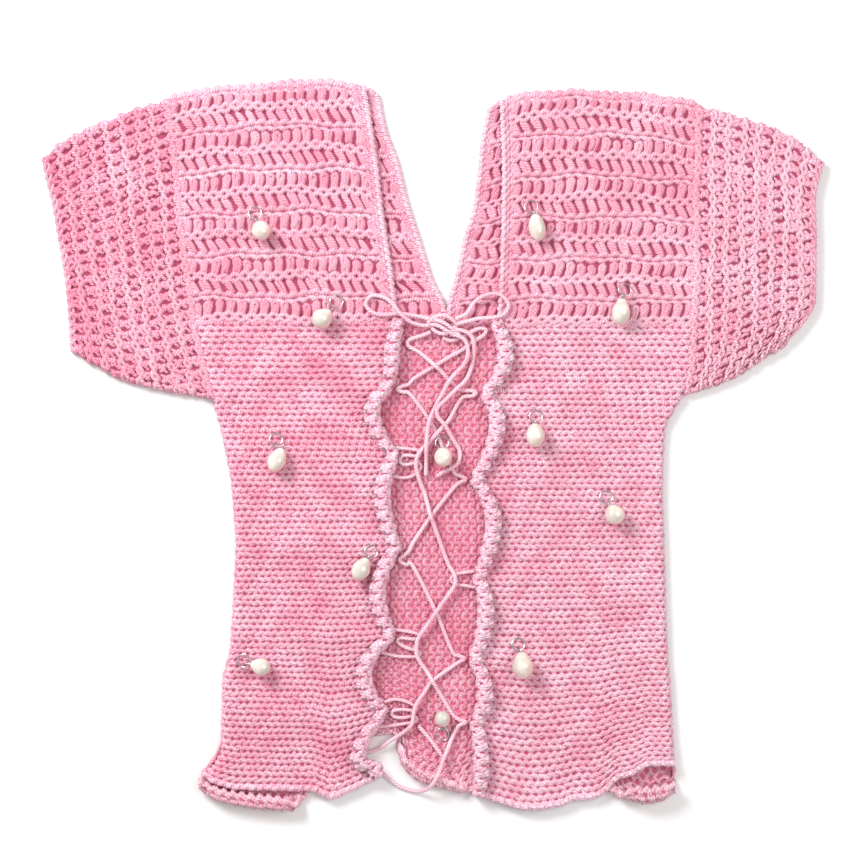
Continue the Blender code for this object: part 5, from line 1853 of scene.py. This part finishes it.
HALF_A = Lace("lace_half_a", (
    (-1.8, 71.0, 6.0), (-6.5, 69.0, 5.0), (-12.0, 67.3, H.low), (-15.8, 65.6, H.low), (-15.4, 62.2, H.low),
    (-9.0, 58.5, H.low), (-3.5, 54.0, H.rising), (1.0, 50.0, H.over), (5.0, 46.3, H.rising),
    *level(H.low, (
        (12.0, 39.0), (17.0, 35.0), (23.0, 34.7), (26.6, 33.0), (23.5, 31.3), (18.0, 30.4), (14.0, 24.5),
        (10.0, 17.0),
    )),
    (6.0, 12.5, H.rising), (2.0, 8.0, H.over), (-2.0, 3.4, 5.4), (-5.0, 0.4, 5.2), (-8.2, -2.8, 7.0),
    (-10.3, -7.0, 7.0), (-10.8, -12.4, 7.0), (-9.6, -18.0, 6.8), (-7.6, -23.8, 5.2), (-5.5, -29.0, H.low),
    (-3.3, -37.5, H.rising), (-1.7, -43.5, H.over), (0.6, -49.5, H.rising), (8.8, -72.0, H.low),
    (11.6, -77.0, H.rising), (13.3, -80.6, 7.0), (13.5, -84.4, 7.2), (11.6, -88.6, 6.4),
    (5.0, -97.8, H.rising), (1.5, -102.7, H.over), (-2.5, -108.8, 6.6), (-7.0, -115.0, 6.8),
    (-9.8, -119.4, 6.9), (-10.5, -123.6, 7.0), (-10.4, -129.0, 7.1), (-8.0, -134.0, 6.4),
    (-4.0, -139.7, H.rising), (-0.6, -145.4, H.over), (3.0, -151.5, H.rising),
    *level(H.low, (
        (11.4, -165.5), (15.5, -169.2), (20.4, -171.0), (16.0, -173.0), (13.2, -177.0),
    )),
    (9.2, -186.4, H.rising), (6.4, -193.0, H.over), (4.8, -198.0, 8.4), (3.2, -202.0, 10.2),
    (1.6, -205.4, 11.0), (-0.6, -209.0, 10.2), (-4.2, -212.4, 6.8), (-9.0, -214.0, 2.6),
    *level(H.floor, (
        (-14.5, -213.4), (-21.5, -210.8), (-27.8, -206.2), (-32.5, -202.2), (-37.5, -199.2),
        (-45.0, -198.4),
    )),
))
HALF_B = Lace("lace_half_b", (
    (5.6, 67.6, 5.0),
    *level(H.low, (
        (10.5, 65.8), (17.0, 67.6), (23.0, 70.8), (28.5, 73.2), (32.6, 72.3), (31.0, 69.0), (25.0, 65.2),
        (19.0, 60.6), (9.0, 55.0), (1.0, 50.0), (-11.5, 42.6), (-15.5, 38.6), (-19.0, 37.6), (-22.6, 35.6),
        (-19.0, 33.7), (-14.5, 32.4), (-3.4, 17.7), (2.0, 8.0), (8.2, -6.5), (13.0, -16.5), (16.0, -18.0),
        (20.2, -20.4), (16.0, -22.4), (12.0, -26.2), (-1.7, -43.5), (-12.6, -59.5), (-15.4, -65.0),
        (-21.2, -70.3), (-17.0, -73.4), (-12.6, -74.6), (1.5, -102.7), (11.4, -126.6), (15.0, -129.6),
        (19.4, -131.5), (15.6, -133.8), (11.5, -136.6), (-0.6, -145.4),
    )),
    (-5.4, -152.0, 4.9), (-8.6, -156.4, 6.5), (-11.2, -160.8, 6.9), (-12.4, -165.4, 6.9),
    (-12.8, -169.4, 7.1), (-14.0, -173.0, 7.0), (-17.4, -176.4, 5.0), (-22.2, -179.6, H.low),
    (-28.0, -183.4, H.low), (-30.8, -185.6, 3.6), (-34.5, -187.9, 1.9), (-39.5, -189.6, H.floor),
    (-46.0, -190.0, H.floor),
))
LINK = Lace("lace_link", (
    *level(H.low, (
        (-9.4, -173.2), (-3.0, -180.6), (1.4, -186.4), (4.4, -190.6), (7.2, -194.6),
    )),
))
LOOP_RIGHT = Lace("bow_loop_right", (
    (13.6, 79.2, 7.2), (20.5, 82.4, 6.6), (25.5, 89.5, 6.4), (32.0, 93.7, 7.2), (40.5, 94.4, H.on_yoke),
    (46.4, 88.2, H.on_yoke), (43.5, 82.0, H.on_yoke), (37.0, 80.0, H.on_yoke), (27.5, 79.2, 7.0),
    (20.0, 77.3, 6.8), (14.2, 75.8, 7.0),
))
LOOP_LEFT = Lace("bow_loop_left", (
    (-2.2, 79.0, 7.2), (-11.5, 81.0, 7.4),
    *level(H.on_yoke, (
        (-21.5, 82.3), (-32.0, 81.5), (-38.5, 83.6), (-42.0, 88.5), (-38.0, 93.5), (-30.0, 92.0),
    )),
    (-25.5, 88.4, 9.2), (-20.5, 82.2, 11.3), (-14.5, 77.3, 9.4), (-8.0, 75.2, 7.6), (-2.4, 74.9, 7.2),
))
TAIL_INNER = Lace("tail_inner", (
    (10.6, 69.4, 7.2), (15.0, 68.6, H.over), (19.0, 66.4, H.over), (21.0, 62.0, H.over),
    (21.2, 56.0, H.over), (18.6, 50.5, H.rising), (13.0, 44.6, H.over), (9.2, 39.8, H.over),
    (5.5, 32.5, H.rising), (1.6, 25.4, H.low), (-2.4, 16.6, H.over), (-4.0, 7.5, H.over),
    (-4.4, 0.0, H.topmost), (-4.4, -8.0, H.rising), (-4.8, -18.6, H.low),
), far_end="bare")
TAIL_OUTER = Lace("tail_outer", (
    (13.4, 72.5, 7.2), (18.5, 71.6, H.over), (22.5, 69.4, H.over), (24.9, 65.2, H.over),
    (25.2, 59.0, H.rising), (23.8, 50.0, H.low), (20.4, 41.8, H.rising), (14.6, 36.0, H.over),
    (8.0, 29.4, H.over), (2.4, 23.6, H.over), (2.8, 18.2, H.over), (7.0, 13.4, H.topmost),
    (11.5, 5.5, H.rising), (16.2, -2.5, H.low), (15.4, -9.4, H.rising), (11.4, -13.2, H.over),
    (6.4, -15.6, H.rising), (1.6, -19.0, H.low),
), far_end="bare")
EDGE_LOOP_PLACES = (
    (
        (-24.0, -0.8), (-18.0, -1.2), (-12.6, -1.8), (-9.4, -2.6), (-7.9, -4.2), (-9.4, -5.8),
        (-13.0, -5.8), (-17.6, -5.4), (-19.8, -6.4), (-20.8, -8.6), (-19.8, -10.8), (-17.0, -11.2),
        (-12.8, -10.6), (-9.8, -10.0), (-7.9, -11.8), (-8.8, -14.8), (-13.0, -18.2), (-18.6, -19.4),
        (-25.4, -18.4),
    ),
    (
        (-24.2, -113.6), (-17.0, -114.6), (-10.8, -116.0), (-8.2, -117.8), (-10.4, -119.6), (-15.6, -119.2),
        (-20.6, -118.8), (-22.6, -120.4), (-21.0, -122.6), (-15.8, -125.2), (-10.8, -126.6), (-8.2, -128.4),
        (-10.4, -130.2), (-16.0, -130.4), (-23.0, -130.0), (-32.6, -127.6),
    ),
    (
        (-30.8, -158.6), (-24.0, -156.8), (-17.0, -158.2), (-12.6, -160.4), (-10.2, -162.2),
        (-12.4, -163.8), (-18.0, -163.2), (-24.0, -163.6), (-26.0, -165.6), (-24.2, -167.8),
        (-18.6, -168.2), (-12.8, -167.4), (-10.2, -169.2), (-12.6, -171.0), (-18.6, -172.0),
        (-26.6, -173.2), (-34.5, -174.0),
    ),
    (
        (25.6, -77.4), (19.0, -78.2), (14.0, -79.2), (10.8, -82.2), (13.6, -85.4), (19.0, -86.2),
        (25.9, -87.4),
    ),
)
EDGE_LOOPS = tuple(
    Lace("edge_loop_%d" % number, level(H.leg, places), BUILD.loop_diameter)
    for number, places in enumerate(EDGE_LOOP_PLACES, start=1)
)


@dataclass
class Lacing:
    """The whole lace: two crossing halves, their link, the bow with its tails, and the edge loops.

    The bow's knot is an arch above, a loop below, and two strands that cross them down to the tails."""

    knot: tuple[Lace, ...] = (
        Lace("knot_arch", (
            (-3.4, 76.4, 6.6), (-1.4, 78.6, 7.6), (2.0, 80.6, 8.6), (6.0, 81.2, 9.0), (10.0, 79.8, 8.8),
            (13.0, 77.2, 7.8), (14.6, 75.0, 6.6),
        )),
        Lace("knot_loop", (
            (-2.6, 76.2, 5.4), (-0.6, 73.0, 6.0), (3.0, 70.4, 6.8), (7.0, 70.0, 7.2), (11.0, 71.6, 7.0),
            (13.6, 74.4, 6.2),
        )),
        Lace("knot_band", (
            (-1.8, 78.2, 6.2), (2.0, 78.2, 8.6), (6.6, 76.4, 10.0), (10.4, 73.8, 9.6), (14.0, 70.4, 8.0),
            (16.6, 68.6, 8.0),
        )),
        Lace("knot_band_under", (
            (-3.0, 75.0, 5.6), (0.6, 75.4, 7.6), (4.6, 74.0, 9.0), (8.6, 71.4, 9.0), (12.6, 69.4, 7.6),
            (15.4, 68.6, 7.6),
        )),
    )

    def build_knot(self) -> bpy.types.Object:
        """Makes the knot: each strand is a tube on its route."""
        maker = MeshMaker("bow_knot_turns")
        for strand in self.knot:
            maker.add_tubes(strand.rings(), np.zeros((1, len(strand.path()))), strand.twist)
        return maker.finish(LACE_YARN, "lace", "bow_knot")

    def build(self) -> None:
        """Makes every length of lace, and last the edge loops, which belong to the fronts."""
        knot = self.build_knot()
        link = LINK.build()
        for lace, others in ((HALF_A, [link]), (HALF_B, [knot]), (LOOP_RIGHT, []), (LOOP_LEFT, []),
                             (TAIL_INNER, []), (TAIL_OUTER, [])):
            lace.declare(lace.build(), others)
        for loop in EDGE_LOOPS:
            loop.build()


# Pearls


@dataclass(frozen=True)
class PearlRow:
    """One pearl: place, height of its seat, sizes, direction of its narrow end, its ring's place and seat."""

    x: float
    y: float
    seat: float
    width: float
    length: float
    heading: float
    taper: float
    ring_x: float
    ring_y: float
    ring_seat: float


PEARLS = tuple(PearlRow(*row) for row in (
    (-106.5, 133.5, 6.4, 11.8, 12.4, 115, 0.05, -110.5, 144.5, 6.4),
    (-68.5, 79.5, 6.4, 12.4, 13.8, 40, 0.30, -60.0, 90.0, 6.4),
    (64.0, 135.5, 5.7, 10.6, 17.2, 100, 0.10, 60.5, 148.5, 6.4),
    (116.0, 83.5, 5.7, 11.8, 17.2, 85, 0.35, 118.5, 97.0, 6.4),
    (-96.5, -8.0, 5.5, 11.8, 16.0, 65, 0.35, -97.5, 4.5, 5.5),
    (63.0, 7.0, 5.5, 11.8, 15.0, 90, 0.10, 63.5, 19.0, 5.5),
    (6.0, -6.5, 5.5, 11.2, 12.4, 90, 0.05, 5.4, 2.6, 5.5),
    (112.0, -42.0, 5.5, 12.4, 13.0, 120, 0.05, 107.0, -31.0, 5.5),
    (-44.5, -75.5, 5.5, 11.8, 15.6, 60, 0.35, -38.6, -65.0, 5.5),
    (-107.0, -136.0, 5.5, 11.2, 13.0, 165, 0.25, -117.5, -132.5, 6.5),
    (55.0, -135.0, 5.5, 13.6, 17.4, 95, 0.40, 52.5, -122.5, 5.5),
    (5.6, -168.8, 2.6, 9.6, 10.4, 290, 0.10, 5.6, -178.6, 2.6),
))


@dataclass
class Pearls:
    """The pearls, each with a cap and an eye of wire that hangs in its jump ring.

    A dent is (depth, waves round, waves along). The cap's radii go from the pearl outwards, over its
    reach."""

    segments: int = 28
    rings: int = 18
    dents: tuple[tuple[float, int, int], ...] = ((0.018, 2, 3), (0.012, 3, 5))
    ring_radius: float = 4.0
    wire: float = 0.45
    tilt: float = math.radians(16)
    raised: float = 0.9
    cap: tuple[float, ...] = (1.9, 1.75, 1.5, 1.15, 0.85, 0.7, 0.6)
    cap_reach: Pair = (-1.3, 1.1)
    eye_start: float = 1.0
    eye_ease: float = 0.7
    eye_width: float = 1.25
    eye_wire: float = 0.36
    turns: int = 36
    wire_sides: int = 8
    cap_sides: int = 14
    twist: float = 3.0

    @staticmethod
    def axes(row: PearlRow) -> tuple[np.ndarray, np.ndarray, np.ndarray]:
        """A pearl's middle, and the directions towards its narrow end and across it."""
        heading = math.radians(row.heading)
        middle = np.array([row.x, row.y, row.seat + BUILD.gap + row.width / 2])
        along = np.array([math.cos(heading), math.sin(heading), 0.0])
        return middle, along, np.array([-along[1], along[0], 0.0])

    def pearl(self, number: int, row: PearlRow) -> bpy.types.Object:
        """Makes one pearl: an egg whose narrow end tapers, with shallow dents as products of sines.

        Args:
            number: which pearl it is.
            row: its place and sizes.

        Returns:
            The pearl.
        """
        angle = np.linspace(0, math.pi, self.rings + 2)[1:-1, None]
        turn = np.arange(self.segments)[None, :] * 2 * math.pi / self.segments
        profile = np.sin(angle) * (1 - row.taper * np.clip(-np.cos(angle), 0, 1))
        (d1, a1, b1), (d2, a2, b2) = self.dents
        dent = d1 * np.sin(a1 * turn + number) * np.sin(b1 * angle + 2 * number)
        dent = 1 + dent + d2 * np.sin(a2 * turn + 2 * number) * np.sin(b2 * angle)
        middle, along, side = self.axes(row)
        reach = (-row.length / 2 * np.cos(angle))[..., None] * along
        wide = (row.width / 2 * profile / profile.max() * dent)[..., None]
        up = np.array([0.0, 0.0, 1.0])
        round_it = wide * (np.cos(turn)[..., None] * side + np.sin(turn)[..., None] * up)
        tips = [middle - along * row.length / 2, middle + along * row.length / 2]
        points = np.concatenate(((middle + reach + round_it).reshape(-1, 3), tips))
        quads = grid(self.rings, self.segments, True)
        maker = MeshMaker("pearl_%02d_nacre" % number)
        maker.add(points, quads, np.zeros(quads.shape + (2,)), np.zeros(len(points)))
        k = np.arange(self.segments)
        n = (k + 1) % self.segments
        tip = np.full(self.segments, len(points) - 2)
        last = (self.rings - 1) * self.segments
        maker.add_faces(np.stack((tip, n, k), axis=-1))
        maker.add_faces(np.stack((tip + 1, last + k, last + n), axis=-1))
        return maker.finish(PEARL, "pearl", "pearl_%02d" % number)

    def findings(self, number: int, row: PearlRow) -> bpy.types.Object:
        """Makes a pearl's jump ring, cap and eye, each a round wire on a circle, or a turned cup.

        Args:
            number: which pearl it is.
            row: its place and sizes.

        Returns:
            The wire parts.
        """
        maker = MeshMaker("ring_%02d_wire" % number)
        turn = np.linspace(0, 2 * math.pi, self.turns, endpoint=False)[:, None]
        tones = np.zeros((1, self.turns))
        middle, along, _ = self.axes(row)
        ahead = unit(np.array([row.x - row.ring_x, row.y - row.ring_y, 0.0]))
        side = np.array([-ahead[1], ahead[0], 0.0])
        rising = ahead * math.cos(self.tilt) + np.array([0, 0, math.sin(self.tilt)])
        centre = np.array([row.ring_x, row.ring_y, row.ring_seat + BUILD.gap + self.wire + self.raised])
        circle = centre + self.ring_radius * (np.cos(turn) * rising + np.sin(turn) * side)
        maker.add_tubes(tube_rings(circle[None], self.wire, self.wire_sides), tones, self.twist, closed=True)
        if float(np.dot(along, ahead)) > 0:
            along = -along
        tip = middle + along * row.length / 2
        line = tip + np.linspace(*self.cap_reach, len(self.cap))[:, None] * along
        cap = tube_rings(line[None], np.array(self.cap)[None], self.cap_sides)
        maker.add_tubes(cap, np.zeros((1, len(self.cap))), self.twist)
        start = tip + along * self.eye_start
        half = (circle[0] - start) / 2
        forward = unit(half)
        beside = unit(np.cross(forward, side))
        long = float(np.linalg.norm(half)) + self.eye_ease
        eye = start + half + long * np.cos(turn) * forward + self.eye_width * np.sin(turn) * beside
        rings = tube_rings(eye[None], self.eye_wire, self.wire_sides, up=tuple(side))
        maker.add_tubes(rings, tones, self.twist, closed=True)
        return maker.finish(SILVER, "silver", "ring_%02d" % number)

    def build(self) -> None:
        """Makes every pearl with its wire parts."""
        for number, row in enumerate(PEARLS, start=1):
            self.pearl(number, row)
            self.findings(number, row)


# Ground, light and camera


@dataclass
class Studio:
    """White ground, soft light from the upper left and a camera straight above."""

    frame_width: float = 0.53568
    view: tuple[float, float, float] = (-0.00068, 0.00923, 2.1)
    sensor: float = 36.0
    cloth_height: float = 0.005
    ground_size: float = 3.0
    lamps: tuple[tuple[str, tuple[float, float, float], float, float], ...] = (
        ("key", (-0.85, 0.85, 0.95), 0.6, 22.0), ("fill", (0.9, 0.1, 1.2), 0.9, 8.0),
    )
    surround: Colour = (1.0, 0.985, 0.98, 1.0)
    surround_strength: float = 0.55

    def build_camera(self) -> None:
        """Makes the camera, straight above, with the whole garment in its frame."""
        data = bpy.data.cameras.new("camera")
        data.sensor_width = self.sensor
        data.lens = self.sensor * (self.view[2] - self.cloth_height) / self.frame_width
        camera = bpy.data.objects.new("camera", data)
        camera.location = self.view
        bpy.context.scene.collection.objects.link(camera)
        bpy.context.scene.camera = camera

    def build_light(self) -> None:
        """Makes a large soft key at the upper left, a weaker fill at the right, and a pale surround."""
        for name, place, size, power in self.lamps:
            data = bpy.data.lights.new(name, "AREA")
            data.size = size
            data.energy = power
            lamp = bpy.data.objects.new(name, data)
            lamp.location = place
            tip = math.acos(place[2] / float(np.linalg.norm(place)))
            lamp.rotation_euler = (tip, 0.0, math.atan2(-place[1], -place[0]) - math.pi / 2)
            bpy.context.scene.collection.objects.link(lamp)
        world = bpy.data.worlds.new("surround")
        world.use_nodes = True
        background = world.node_tree.nodes["Background"]
        background.inputs[0].default_value = self.surround
        background.inputs[1].default_value = self.surround_strength
        bpy.context.scene.world = world
        bpy.context.scene.view_settings.view_transform = "Standard"

    def build_ground(self) -> None:
        """Makes the flat ground under the garment, one square."""
        half = self.ground_size / 2
        mesh = bpy.data.meshes.new("ground")
        corners = [(-half, -half, 0), (half, -half, 0), (half, half, 0), (-half, half, 0)]
        mesh.from_pydata(corners, [], [(0, 1, 2, 3)])
        item = bpy.data.objects.new("ground", mesh)
        bpy.context.scene.collection.objects.link(item)
        mesh.materials.append(FLOOR.material())


def main() -> None:
    """Builds the camera, the ground, the laces, the cloth, the pearls and the light, in that order."""
    logging.basicConfig(level=logging.INFO, format="%(message)s")
    studio = Studio()
    studio.build_camera()
    studio.build_ground()
    Lacing().build()
    back = BackPanel("back_body").build(["ground"], seed=11)
    FrontPanel("front_left", LEFT, SCALLOPS_LEFT, courses=25).build([back], seed=101)
    # The right front's tone -0.25 is painted light: it is painted lighter, as the light falls brighter on the
    # right.
    FrontPanel("front_right", RIGHT, SCALLOPS_RIGHT, courses=27, tone=-0.25).build([back], seed=201)
    # The back yokes' tone 0.3 is painted shade: they are painted deeper where they lie under the front yokes.
    coarse = Crochet(post_step=0.3, chain_steps=4, low=-0.55, high=0.35, yarn=1.62, cord=1.2, tone=0.3)
    for name, outline in (("yoke_back_left", LEFT), ("yoke_back_right", RIGHT)):
        YokeHalf(name, outline, False, 21, crochet=coarse).build(["ground"], seed=301 + outline.toward)
    YokeHalf("yoke_front_left", LEFT, True, 18).build(["yoke_back_left_cloth"], seed=401)
    YokeHalf("yoke_front_right", RIGHT, True, 17).build(["yoke_back_right_cloth"], seed=501)
    # The sleeves' tones are painted shade on the left sleeve and painted light on the right one.
    Sleeve("sleeve_left", LEFT, tone=0.3, cuff_shade=0.4).build(["ground"], seed=601)
    Sleeve("sleeve_right", RIGHT, tone=-0.15).build(["ground"], seed=701)
    Pearls().build()
    studio.build_light()


if __name__ == "__main__":
    main()
